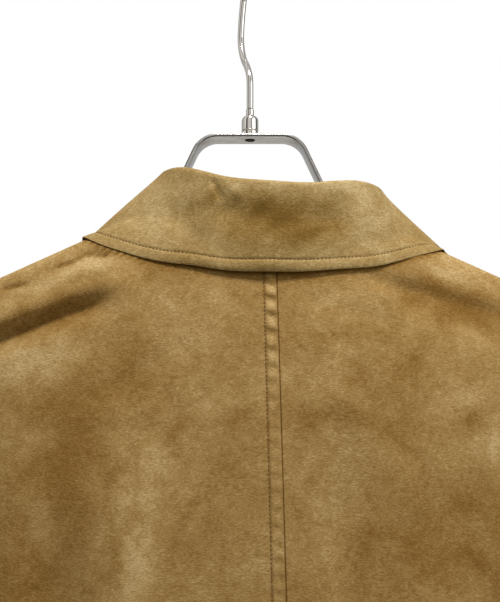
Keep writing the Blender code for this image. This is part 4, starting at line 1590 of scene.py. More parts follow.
@dataclass
class Cuff:
    """A buttoned band below the sleeve, its end lapped over its start at the back."""

    cut: JacketCut
    side: Side
    height: float = 65 * MM
    lap_turn: float = 0.42
    start: float = math.radians(100)
    flat: tuple[float, float] = (0.290, 0.065)
    half_width: float = 41 * MM
    columns: int = 190

    @property
    def node(self) -> str:
        """The cuff's solid."""
        return f"cuff_{self.side.name.lower()}"

    def skin(self, share: Array, travel: Array, fine: bool = True) -> tuple[Array, Array]:
        """Finds the cuff's outer face.

        Args:
            share: 0 at the sleeve and 1 at the free edge.
            travel: how far round from the band's start, in radians.
            fine: whether its stitched edges count.

        Returns:
            Points and outward directions.
        """
        cut, sign = self.cut, self.side.value
        size = dict(zip(RING_COLUMNS, (value * MM for value in RING_ROWS[-1])))
        (tip_x, tip_z), (arm_x, arm_z) = cut.tip(self.side), cut.underarm(self.side)
        outer_x, inner_x = tip_x + sign * size["outer_out"], arm_x + sign * size["inner_out"]
        top_z = (tip_z - size["outer_down"] + arm_z - size["inner_down"]) / 2
        half = abs(outer_x - inner_x) / 2
        angle = self.start + travel
        lap = smooth((travel - TAU + 0.45) / 0.4) * (DOUBLE_CLOTH + SEAM_GAP + 0.2 * MM)
        if fine:
            end = (TAU + self.lap_turn - travel) * half
            edge = np.minimum((1 - share) * self.height, end)
            lap = lap + CUFF_EDGE.relief(edge, travel * half)
        flare = 1.5 * MM * share + lap
        point = stack((outer_x + inner_x) / 2 + sign * np.cos(angle) * (half + flare),
                      np.sin(angle) * (size["depth"] + flare),
                      top_z - SEAM_GAP - share * self.height)
        out = stack(sign * np.cos(angle) * size["depth"], np.sin(angle) * half, 0)
        return point, unit(out)

    def build(self, finishes: Finishes) -> bpy.types.Object:
        """Makes and dresses the cuff.

        Args:
            finishes: the materials.

        Returns:
            The cuff's object.
        """
        rows = np.array([0, 2, 6, 12, 18, 24, 30, 36, 42, 48, 53, 57, 57.8, 58.4, 59, 59.6, 60.4, 62,
                         63.5, 65]) * MM / self.height
        travel = np.linspace(0, TAU + self.lap_turn, self.columns)
        travel = travel[::-self.side.value]
        points, normals = self.skin(*np.meshgrid(rows, travel, indexing="ij"))
        shell = ClothShell(f"{self.node}_cloth", points, normals, DOUBLE_CLOTH)
        obj = shell.build(finishes.suede, finishes.suede)
        give_nap_and_shade(obj, lambda places: np.zeros(len(places)))
        dress(obj, Slot.DOUBLE, self.node)
        return obj

    def edge_run(self) -> tuple[Array, Array]:
        """Finds the line of stitches along the free edge.

        Returns:
            The line's points and directions.
        """
        travel = np.linspace(0.02, TAU + self.lap_turn - CUFF_EDGE.stitch / self.half_width, 700)
        return self.skin(np.full_like(travel, 1 - CUFF_EDGE.stitch / self.height), travel)


# ------------------------------------------------------------------ collar


COLLAR_COLUMNS = ("angle", "stand", "lean", "leaf", "pitch", "sweep", "bow")
COLLAR_ROWS = (
    (-172, 25, 1, 70, 82, 46, 0),
    (-160, 26, 0, 75, 78, 33, 0),
    (-135, 25, -4, 75, 68, 10, 0.4),
    (-110, 22, -8, 76, 53, 0, 0.2),
    (-90, 25, -9, 72, 43.5, 0, 0),
    (-70, 26, -5.5, 62, 66, 0, 0.6),
    (-45, 33.8, -3, 66, 82, 0, 1.4),
    (-32, 36.4, -2, 65, 84, 0, 1.6),
    (-20, 37.4, -1, 64, 86, 0, 1.6),
    (0, 38.8, 1, 65, 86, 0, 1.6),
    (20, 37.5, -1, 68, 86, 0, 1.6),
    (32, 37.4, -3.5, 71, 84, 0, 1.2),
    (45, 35.7, -7, 75, 80, 0, 0.6),
    (70, 28.3, -12, 76, 61, 0, 0.8),
    (90, 26.2, -13, 82, 42.5, 0, 0.8),
    (110, 23, -10, 82, 52, 0, 1.0),
    (135, 25, -5, 77, 68, 10, 0.3),
    (160, 26, 0, 76, 78, 33, 0),
    (172, 25, 1, 70, 82, 46, 0),
)
COLLAR = curves(COLLAR_COLUMNS, COLLAR_ROWS, key="angle")


def collar_size(column: str, degrees: Array) -> Array:
    """One column of the collar's table at angles round the neck."""
    return COLLAR[column].at(np.clip(degrees, COLLAR_ROWS[0][0], COLLAR_ROWS[-1][0]))


@dataclass
class CollarStand:
    """The band that joins the collar to the neck, its ends lapped at the centre front."""

    cut: JacketCut
    flat: tuple[float, float] = (0.475, 0.039)
    area: float = 0.0145
    lap_from: float = 152.0

    def ends(self) -> tuple[float, float]:
        """The angles, in degrees, where the band begins and ends, past the centre front."""
        over = math.degrees(math.asin(self.cut.overlap / self.cut.neck_half))
        return -180 - over, 180 + over

    def lap(self, degrees: Array) -> Array:
        """How far the right end lies inside the left one."""
        return -(DOUBLE_CLOTH + SEAM_GAP + 0.2 * MM) * smooth((-degrees - self.lap_from) / 14)

    def outward(self, degrees: Array) -> Array:
        """The level direction out of the neck."""
        angle = np.radians(degrees)
        return stack(np.sin(angle), np.cos(angle), 0)

    def skin(self, degrees: Array, share: Array) -> Array:
        """Finds the stand's outer face.

        Args:
            degrees: round the neck from the centre back.
            share: 0 at the neck seam and 1 at the top.

        Returns:
            The points.
        """
        base = self.cut.neck(np.radians(degrees))
        lean = collar_size("lean", degrees) * MM * share
        foot = SEAM_GAP + 0.5 * MM
        height = foot + (collar_size("stand", degrees) * MM - 0.5 * MM) * share
        out = self.outward(degrees) * (lean + self.lap(degrees))[..., None]
        return base + out + stack(0, 0, height)

    def build(self, finishes: Finishes) -> bpy.types.Object:
        """Makes and dresses the stand.

        Args:
            finishes: the materials.

        Returns:
            The stand's object.
        """
        start, end = self.ends()
        degrees, share = np.meshgrid(np.linspace(start, end, 260), np.linspace(1, 0, 14))
        shell = ClothShell("collar_stand_cloth", self.skin(degrees, share), self.outward(degrees),
                           DOUBLE_CLOTH)
        obj = shell.build(finishes.collar, finishes.collar)
        give_nap_and_shade(obj, lambda places: np.full(len(places), 0.02))
        dress(obj, Slot.DOUBLE, "collar_stand")
        return obj


@dataclass
class CollarLeaf:
    """The part of the collar that rolls over the stand and falls on the shoulders."""

    cut: JacketCut
    stand: CollarStand
    flat: tuple[float, float] = (0.660, 0.095)
    area: float = 0.048
    roll_radius: float = 4.4 * MM
    ridge_roll: float = 0.12
    clear_back: float = 4.0 * MM
    clear_side: float = 1.0 * MM
    edge_cloth: float = 0.8 * MM
    side_cloth: float = 1.2 * MM
    # How much darker the leaf's underside and lower rim are made: painted shade under the collar's edge,
    # fading towards the front.
    under: float = 0.52
    under_from: float = 36 * MM
    end: float = 175.0
    columns: int = 340
    front_scale: float = 1.35 * MM

    def eased(self, need: Array) -> Array:
        """How far to move where a need begins, without a kink."""
        return (need + np.hypot(need, 0.8 * MM)) / 2

    def near_back(self, degrees: Array) -> Array:
        """1 at the centre back and 0 from the shoulders on."""
        return smooth(1 - np.abs(degrees) / 75)

    def clear_of_body(self, points: Array, clear: Array) -> Array:
        """Moves points out to stand clear of the body.

        Args:
            points: the leaf's points.
            clear: how far each has to stand off.

        Returns:
            The moved points.
        """
        cut = self.cut
        x, y, z = points[..., 0], points[..., 1], points[..., 2]
        moved = points.copy()
        for face in Face:
            here = (y >= 0) == (face is Face.BACK)
            top, _ = cut.top(face, x)
            above = z >= top
            beside = np.abs(x - cut.hang_x) >= cut.neck_half
            lift = self.eased(clear - (z - top + np.abs(y) * self.ridge_roll)) * beside
            normal = cut.skin_normal(face, Side.LEFT, x, np.minimum(z, top - 0.5 * MM))
            gap = (np.abs(y) - HALF_GAP - cut.depth(face, x, z)) * np.abs(normal[..., 1])
            push = normal * self.eased(clear - gap)[..., None]
            change = np.where(above[..., None], stack(0, 0, lift), push)
            moved = np.where(here[..., None], points + change, moved)
        return moved

    def sizes(self, degrees: Array) -> tuple[Array, Array, Array]:
        """The leaf's fall, pitch in radians and the length of its roll at angles round the neck."""
        pitch = np.radians(collar_size("pitch", degrees))
        return collar_size("leaf", degrees) * MM, pitch, (math.pi / 2 + pitch) * self.roll_radius

    def skin(self, degrees: Array, travel: Array) -> Array:
        """Finds the leaf's outer face without its stitched edge.

        Args:
            degrees: round the neck from the centre back.
            travel: how far over the roll and down the fall from the stand's top.

        Returns:
            The points.
        """
        out = self.stand.outward(degrees)
        up = np.zeros_like(out)
        up[..., 2] = 1
        length, pitch, roll = self.sizes(degrees)
        start = self.stand.skin(degrees, np.ones_like(degrees)) + up * SEAM_GAP
        start = start - out * self.stand.lap(degrees)[..., None]
        middle = start + out * self.roll_radius
        turn = np.maximum(math.pi - travel / self.roll_radius, math.pi / 2 - pitch)
        round_it = middle + (out * np.cos(turn)[..., None] + up * np.sin(turn)[..., None]) * self.roll_radius
        fall = np.clip((travel - roll) / length, 0, 1)[..., None]
        down = out * np.cos(pitch)[..., None] - up * np.sin(pitch)[..., None]
        bow = out * np.sin(pitch)[..., None] + up * np.cos(pitch)[..., None]
        swell = (collar_size("bow", degrees) * MM)[..., None] * np.sin(math.pi * fall)
        point = round_it + down * length[..., None] * fall + bow * swell
        away = stack(-out[..., 1], out[..., 0], 0) * np.where(degrees < 0, 1.0, -1.0)[..., None]
        point = point - away * (collar_size("sweep", degrees) * MM)[..., None] * fall
        clear = lerp(self.clear_side, self.clear_back, self.near_back(degrees))
        return self.clear_of_body(point, clear * smooth(fall[..., 0] * 2.2) - 1.5 * MM * (fall[..., 0] <= 0))

    def edge_distance(self, degrees: Array, travel: Array) -> Array:
        """How far a place is from the nearest free edge."""
        length, _, roll = self.sizes(degrees)
        return np.minimum(roll + length - travel, (self.end - np.abs(degrees)) * self.front_scale)

    def grid(self) -> tuple[Array, Array, Array]:
        """Finds the leaf's dressed outer face.

        Returns:
            Points, directions and thicknesses, row by row from the stand to the free edge.
        """
        near = np.array([0, .5, 1, 1.6, 2.4, 3.4, 4.5, 5.6, 6.6, 7.3, 7.8, 8.2, 8.55, 8.9, 9.3, 9.8,
                         10.6, 12]) * MM
        degrees = np.linspace(-self.end, self.end, self.columns)
        ends = self.end - np.array([0, .4, .9, 1.6, 2.5, 3.4, 4.3, 5, 5.5, 5.9, 6.2, 6.5, 6.8, 7.2, 7.8])
        inner = np.abs(degrees) < self.end - 8.4
        degrees = np.concatenate([-ends, degrees[inner], ends[::-1]])[None, :]
        length, _, roll = self.sizes(degrees)
        over = np.linspace(0, 1, 15)[:, None] * roll
        fall = roll + np.linspace(0, 1, 31)[1:, None] * (length - near[-1])
        hem = roll + length - near[:-1][::-1][:, None]
        travel = np.concatenate([over, fall, hem])
        degrees = np.repeat(degrees, len(travel), axis=0)
        points = self.skin(degrees, travel)
        normals = grid_normals(points)
        distance = self.edge_distance(degrees, travel)
        behind_neck = self.near_back(degrees)
        rise = COLLAR_EDGE.relief(distance, degrees * 1.6 * MM, lerp(0.15, 1.0, behind_neck**0.6))
        rise = rise * smooth((travel - roll) / (12 * MM))
        behind = smooth(points[..., 1] / (20 * MM))
        rise = rise + behind * sum(c.height(points[..., 0], points[..., 2]) for c in COLLAR_CREASES)
        thick = lerp(self.side_cloth, DOUBLE_CLOTH, behind_neck)
        thick = lerp(self.edge_cloth, thick, smooth(distance / (5 * MM)))
        return points + normals * rise[..., None], normals, thick

    def build(self, finishes: Finishes) -> bpy.types.Object:
        """Makes and dresses the leaf.

        Args:
            finishes: the materials.

        Returns:
            The leaf's object.
        """
        points, normals, thick = self.grid()
        shell = ClothShell("collar_leaf_cloth", points, normals, thick, rim_steps=5, roll=0.5, meet=0)
        obj = shell.build(finishes.collar, finishes.collar)
        count, around = thick.size, 2 * (sum(thick.shape) - 2)
        # Painted shade on the inner skin and the rim's lower levels.
        under = np.zeros(len(obj.data.vertices))
        under[count:2 * count] = under[2 * count + 3 * around:] = self.under
        give_nap_and_shade(obj, lambda places: self.tone(places) - under * smooth(places[:, 1] / self.under_from))
        dress(obj, Slot.DOUBLE, "collar_leaf")
        return obj

    def tone(self, points: Array) -> Array:
        """The nap's tone at places on the leaf, painted shade and highlights included."""
        return sum(patch.shade(points[:, 0], points[:, 2]) for patch in COLLAR_NAP_AND_SHADE)

    def collar_shadow_edge(self) -> tuple[Array, Array]:
        """Finds where the free edge lies on the back, for the shadow line painted under it.

        Returns:
            x, growing, and z of the edge.
        """
        degrees = np.linspace(-88, 88, 120)
        length, _, roll = self.sizes(degrees)
        edge = self.skin(degrees, roll + length)
        order = np.argsort(edge[:, 0])
        return edge[order, 0], edge[order, 2]

    def edge_run(self) -> tuple[Array, Array]:
        """Finds the stitching line round the leaf's free edges.

        Returns:
            The line's points and directions.
        """
        inset = COLLAR_EDGE.stitch / self.front_scale
        turn = self.end - inset
        side = np.full(60, turn)
        length, _, roll = self.sizes(side)
        down = lerp(roll + 8 * MM, roll + length - COLLAR_EDGE.stitch, np.linspace(0, 1, 60))
        level = np.linspace(turn, -turn, 1400)
        long_, _, rolled = self.sizes(level)
        degrees = np.concatenate([side, level, -side])
        travel = np.concatenate([down, rolled + long_ - COLLAR_EDGE.stitch, down[::-1]])
        step = 0.6 * MM
        points = self.skin(degrees, travel)
        across = self.skin(degrees + 0.3, travel) - self.skin(degrees - 0.3, travel)
        below = self.skin(degrees, travel + step) - self.skin(degrees, travel - step)
        normals = unit(np.cross(across, below))
        return points - normals * COLLAR_EDGE.groove, normals


# ------------------------------------------------------------------ buttons


@dataclass
class Buttons:
    """Four-hole buttons down the front, at the neck and on the cuffs, each with its thread."""

    cut: JacketCut
    stand: CollarStand
    radius: float = 9 * MM
    thick: float = 3.2 * MM
    seat: float = 0.5 * MM
    hole: float = 0.95 * MM
    hole_place: float = 2.1 * MM
    front_count: int = 6
    first_z: float = -323 * MM
    pitch: float = 96 * MM

    def disc(self, horn: bpy.types.Material) -> bpy.types.Mesh:
        """Makes the button that all share, its face along +Z.

        Args:
            horn: its material.

        Returns:
            The mesh.
        """
        rim, thick = self.radius, self.thick
        profile = [(0.0001 * MM, thick - 1.1 * MM), (rim - 4.4 * MM, thick - 1.1 * MM),
                   (rim - 3.4 * MM, thick - 0.9 * MM), (rim - 2.5 * MM, thick - 0.25 * MM),
                   (rim - 1.8 * MM, thick), (rim - 1.0 * MM, thick - 0.05 * MM),
                   (rim - 0.3 * MM, thick - 0.45 * MM), (rim, thick - 1.1 * MM), (rim, 1.1 * MM),
                   (rim - 0.3 * MM, 0.4 * MM), (rim - 1.2 * MM, 0), (0.0001 * MM, 0)]
        body = turned("button_disc", profile, 48, [horn])
        for turn in range(4):
            angle = math.radians(45 + 90 * turn)
            place = (self.hole_place * math.cos(angle), self.hole_place * math.sin(angle), 0)
            drill(body, self.hole, 3 * thick, place, sides=16)
        mesh = body.data
        bpy.data.objects.remove(body)
        mesh.shade_smooth()
        mesh.set_sharp_from_angle(angle=math.radians(38))
        return mesh

    def places(self) -> dict[str, Matrix]:
        """Finds where each button sits.

        Returns:
            Its place and turn by the name of its solid.
        """
        cut = self.cut
        found = {}
        base = self.stand.skin(np.array([180.0]), np.array([0.5]))[0]
        found["button_neck"] = self.seated(base, np.array([0.0, -1.0, 0.0]))
        for i in range(self.front_count):
            x, z = np.array([cut.hang_x]), np.array([self.first_z - i * self.pitch])
            point = cut.skin(Face.FRONT, Side.LEFT, x, z, fine=False)[0]
            normal = cut.skin_normal(Face.FRONT, Side.LEFT, x, z)[0]
            found[f"button_front_{i + 1}"] = self.seated(point, normal)
        for side in Side:
            cuff = Cuff(cut, side)
            travel = (TAU + cuff.lap_turn) * 29 / 30
            point, normal = cuff.skin(np.array([0.5]), np.array([travel]), fine=False)
            found[f"button_cuff_{side.name.lower()}"] = self.seated(point[0], normal[0])
        return found

    def seated(self, point: Array, normal: Array) -> Matrix:
        """The place of a button just above a point, its face along the normal."""
        turn = Vector(normal).to_track_quat("Z", "Y").to_matrix().to_4x4()
        return Matrix.Translation(Vector(point) + Vector(normal) * self.seat) @ turn

    def thread(self, material: bpy.types.Material) -> bpy.types.Mesh:
        """Makes the sewing that all share: two bars of thread through the holes and a shank.

        Args:
            material: the thread's material.

        Returns:
            The mesh.
        """
        sewing = Topstitching("button_sewing", length=2 * self.hole_place, radius=0.42 * MM, rings=7)
        reach = self.hole_place * math.cos(math.radians(45))
        level = self.thick - 1.1 * MM
        strands = []
        for row in (-1, 1):
            for strand in (-0.42, 0.42):
                strands.append((0, row * reach + strand * MM, level + 0.42 * MM))
        sewing.points.append(np.array(strands))
        sewing.frames.append((np.tile([1.0, 0, 0], (4, 1)), np.tile([0.0, 1.0, 0], (4, 1))))
        obj = sewing.build(material, Slot.BUTTON)
        mesh = obj.data
        bpy.data.objects.remove(obj)
        return mesh

    def build(self, finishes: Finishes) -> None:
        """Makes and dresses every button.

        Args:
            finishes: the materials.
        """
        disc, thread = self.disc(finishes.horn), self.thread(finishes.thread)
        for node, place in self.places().items():
            for suffix, mesh, nodes in (("horn", disc, (node,)), ("thread", thread, ())):
                obj = linked(f"{node}_{suffix}", mesh)
                obj.matrix_world = place
                dress(obj, Slot.BUTTON, *nodes)


def turned(name: str, profile: Sequence[tuple[float, float]], steps: int,
           materials: Sequence[bpy.types.Material]) -> bpy.types.Object:
    """Makes a turned solid round Z.

    Args:
        name: the object's name.
        profile: radius and height from the top down, its ends on the axis.
        steps: how many sides the turning has.
        materials: its materials.

    Returns:
        The object.
    """
    bm = bmesh.new()
    line = [bm.verts.new((radius, 0, height)) for radius, height in profile]
    edges = [bm.edges.new(pair) for pair in zip(line[:-1], line[1:])]
    bmesh.ops.spin(bm, geom=line + edges, cent=(0, 0, 0), axis=(0, 0, 1), angle=TAU, steps=steps)
    bmesh.ops.remove_doubles(bm, verts=bm.verts[:], dist=0.01 * MM)
    bmesh.ops.recalc_face_normals(bm, faces=bm.faces[:])
    mesh = bpy.data.meshes.new(name)
    bm.to_mesh(mesh)
    bm.free()
    for material in materials:
        mesh.materials.append(material)
    mesh.shade_smooth()
    mesh.set_sharp_from_angle(angle=math.radians(35))
    return linked(name, mesh)


# ------------------------------------------------------------------ hanger


@dataclass
class Hanger:
    """The bent flat bar, the turned ferrule that swivels in it, and the wire hook."""

    cut: JacketCut
    depth: float = 20 * MM
    thick: float = 2.8 * MM
    edge: float = 1.1 * MM
    top_z: float = -131 * MM
    crown_half: float = 38 * MM
    bend_x: float = 67 * MM
    tip_x: float = 204 * MM
    crown_bend: float = 20 * MM
    arm_bend: float = 8 * MM
    rest_tip: float = 2.3 * MM
    rest_neck: float = 4.2 * MM
    pivot_hole: float = 8.2 * MM
    ferrule_radius: float = 6.7 * MM
    ferrule_height: float = 16.5 * MM
    wire: float = 2.7 * MM
    hook_turn: float = math.radians(22)

    def bend(self, before: Vector, corner: Vector, after: Vector, radius: float,
             steps: int = 18) -> list[Vector]:
        """Rounds a corner of the bar's route.

        Args:
            before: the route's point before the corner.
            corner: the corner.
            after: the point after it.
            radius: of the bend's middle line.
            steps: how many pieces the bend has.

        Returns:
            The bend's points.
        """
        one, two = (before - corner).normalized(), (after - corner).normalized()
        half = one.angle(two) / 2
        reach = radius / math.tan(half)
        middle = corner + (one + two).normalized() * (radius / math.sin(half))
        start, end = corner + one * reach - middle, corner + two * reach - middle
        sweep = start.angle_signed(end)
        return [middle + Matrix.Rotation(-sweep * i / steps, 2) @ start for i in range(steps + 1)]

    def route(self) -> list[Vector]:
        """Finds the bar's middle line.

        Returns:
            x and z from the left tip to the right one.
        """
        level = self.top_z - self.thick / 2
        slant = math.hypot(1, self.cut.ridge_fall)
        neck_clear, tip_clear = ((CLOTH + rest + self.thick / 2) * slant
                                 for rest in (self.rest_neck, self.rest_tip))
        arm_bend = Vector((self.bend_x, float(self.cut.ridge(self.bend_x)) - neck_clear))
        arm_tip = Vector((self.tip_x, float(self.cut.ridge(self.tip_x)) - tip_clear))
        crown, centre = Vector((self.crown_half, level)), Vector((0, level))
        half = [arm_tip]
        half += self.bend(arm_tip, arm_bend, crown, self.arm_bend)
        half += self.bend(arm_bend, crown, centre, self.crown_bend)
        return half + [Vector((-p.x, p.y)) for p in reversed(half)]

    def make_bar(self, satin: bpy.types.Material, edge: bpy.types.Material) -> bpy.types.Object:
        """Makes the flat bar with its rounded edges and the pivot's hole.

        Args:
            satin: its material.
            edge: the near-black finish of its inner bevels: painted shade.

        Returns:
            The object.
        """
        route = self.route()
        upper, lower = [], []
        for i, point in enumerate(route):
            along = (route[min(i + 1, len(route) - 1)] - route[max(i - 1, 0)]).normalized()
            side = Vector((along.y, -along.x)) * (self.thick / 2 - self.edge)
            trim = along * (self.edge if i == 0 else -self.edge if i == len(route) - 1 else 0)
            upper.append(point + side + trim)
            lower.append(point - side + trim)
        curve = bpy.data.curves.new("hanger_bar_steel", "CURVE")
        curve.dimensions, curve.fill_mode = "2D", "BOTH"
        curve.extrude = self.depth / 2 - self.edge
        curve.bevel_depth, curve.bevel_resolution = self.edge, 3
        spline = curve.splines.new("POLY")
        outline = upper + lower[::-1]
        spline.points.add(len(outline) - 1)
        for place, point in zip(spline.points, outline):
            place.co = (point.x, point.y, 0, 1)
        spline.use_cyclic_u = True
        guide = linked("bar_guide", curve)
        guide.rotation_euler = (math.pi / 2, 0, 0)
        bpy.context.view_layer.update()
        evaluated = guide.evaluated_get(bpy.context.evaluated_depsgraph_get())
        mesh = bpy.data.meshes.new_from_object(evaluated)
        mesh.transform(guide.matrix_world)
        bpy.data.objects.remove(guide)
        bm = bmesh.new()
        bm.from_mesh(mesh)
        bmesh.ops.remove_doubles(bm, verts=bm.verts[:], dist=0.005 * MM)
        bmesh.ops.recalc_face_normals(bm, faces=bm.faces[:])
        bm.to_mesh(mesh)
        bm.free()
        mesh.materials.clear()
        mesh.materials.append(satin)
        bar = linked("hanger_bar_steel", mesh)
        pivot = (0, 0, self.top_z - self.thick / 2)
        drill(bar, self.pivot_hole / 2, self.thick * 4, pivot, sides=48)
        bar.data.materials.append(edge)
        # The inner bevels take the near-black finish: painted shade.
        for face in bar.data.polygons:
            inner = face.normal.z - face.normal.x * math.copysign(1, face.center.x) < -0.1
            if inner and 0.2 < abs(face.normal.y) < 0.98:
                face.material_index = 1
        bar.data.shade_smooth()
        bar.data.set_sharp_from_angle(angle=math.radians(50))
        return dress(bar, Slot.STEEL, "hanger_bar")

    def make_ferrule(self, polished: bpy.types.Material,
                     pin_shade: bpy.types.Material) -> bpy.types.Object:
        """Makes the ferrule, its groove, its collar and its riveted pivot.

        Args:
            polished: the barrel's material.
            pin_shade: the pivot's near-black material, painted shade of a dark recess.

        Returns:
            The object.
        """
        base = self.top_z + 0.15 * MM
        top, radius, collar = base + self.ferrule_height, self.ferrule_radius, self.wire + 0.45 * MM
        groove, pin = base + 4 * MM, self.pivot_hole / 2 - 0.4 * MM
        profile = [(0, top + 6 * MM), (collar - 0.5 * MM, top + 6 * MM), (collar, top + 5.5 * MM),
                   (collar, top + 0.7 * MM), (collar - 0.6 * MM, top + 0.4 * MM),
                   (collar - 0.6 * MM, top - 0.1 * MM), (radius - 2.6 * MM, top - 0.1 * MM),
                   (radius - 1.7 * MM, top - 0.5 * MM), (radius - 0.8 * MM, top - 1.4 * MM),
                   (radius - 0.2 * MM, top - 2.6 * MM), (radius, top - 3.8 * MM),
                   (radius, groove + 0.7 * MM), (radius - 0.3 * MM, groove + 0.5 * MM),
                   (radius - 0.7 * MM, groove), (radius - 0.3 * MM, groove - 0.5 * MM),
                   (radius, groove - 0.7 * MM), (radius, base + 0.4 * MM),
                   (radius - 0.4 * MM, base), (pin, base), (pin, base - 1.0 * MM),
                   (0, base - 1.0 * MM)]
        obj = turned("hanger_ferrule_steel", profile, 72, [polished, pin_shade])
        # The pin below the bar takes the near-black finish: painted shade of a recess.
        for face in obj.data.polygons:
            if face.center.z < base - 0.1 * MM:
                face.material_index = 1
        return dress(obj, Slot.STEEL, "hanger_ferrule")

    def make_hook(self, polished: bpy.types.Material) -> bpy.types.Object:
        """Makes the wire hook.

        Args:
            polished: its material.

        Returns:
            The object.
        """
        places = ((0, 23.2), (0, 43), (1.5, 52), (6.3, 60.7), (13.1, 69.5), (18.3, 80.3),
                  (20.3, 90.5), (19.6, 99), (18.2, 107), (16.2, 115), (13.4, 123), (8, 130.5),
                  (0, 133.7), (-8.5, 131.5), (-15.5, 125), (-19.5, 116), (-20.5, 108))
        line = curves(("reach", "height"), places, scale=MM)
        at = np.linspace(0, len(places) - 1, 6 * (len(places) - 1) + 1)
        reach, height = line["reach"].at(at), line["height"].at(at)
        curve = bpy.data.curves.new("hanger_hook_wire", "CURVE")
        curve.dimensions = "3D"
        curve.bevel_depth, curve.bevel_resolution = self.wire, 6
        curve.use_fill_caps = True
        spline = curve.splines.new("POLY")
        spline.points.add(len(at) - 1)
        for place, out, up in zip(spline.points, reach, height):
            place.co = (out * math.sin(self.hook_turn), -out * math.cos(self.hook_turn),
                        up + self.top_z, 1)
        spline.use_smooth = True
        curve.materials.append(polished)
        return dress(linked("hanger_hook_wire", curve), Slot.STEEL, "hanger_hook")

    def build(self, finishes: Finishes) -> None:
        """Makes and dresses the hanger's pieces.

        Args:
            finishes: the materials.
        """
        self.make_bar(finishes.satin, finishes.edge)
        self.make_ferrule(finishes.polished, finishes.pin_shade)
        self.make_hook(finishes.polished)


# ------------------------------------------------------------------ studio


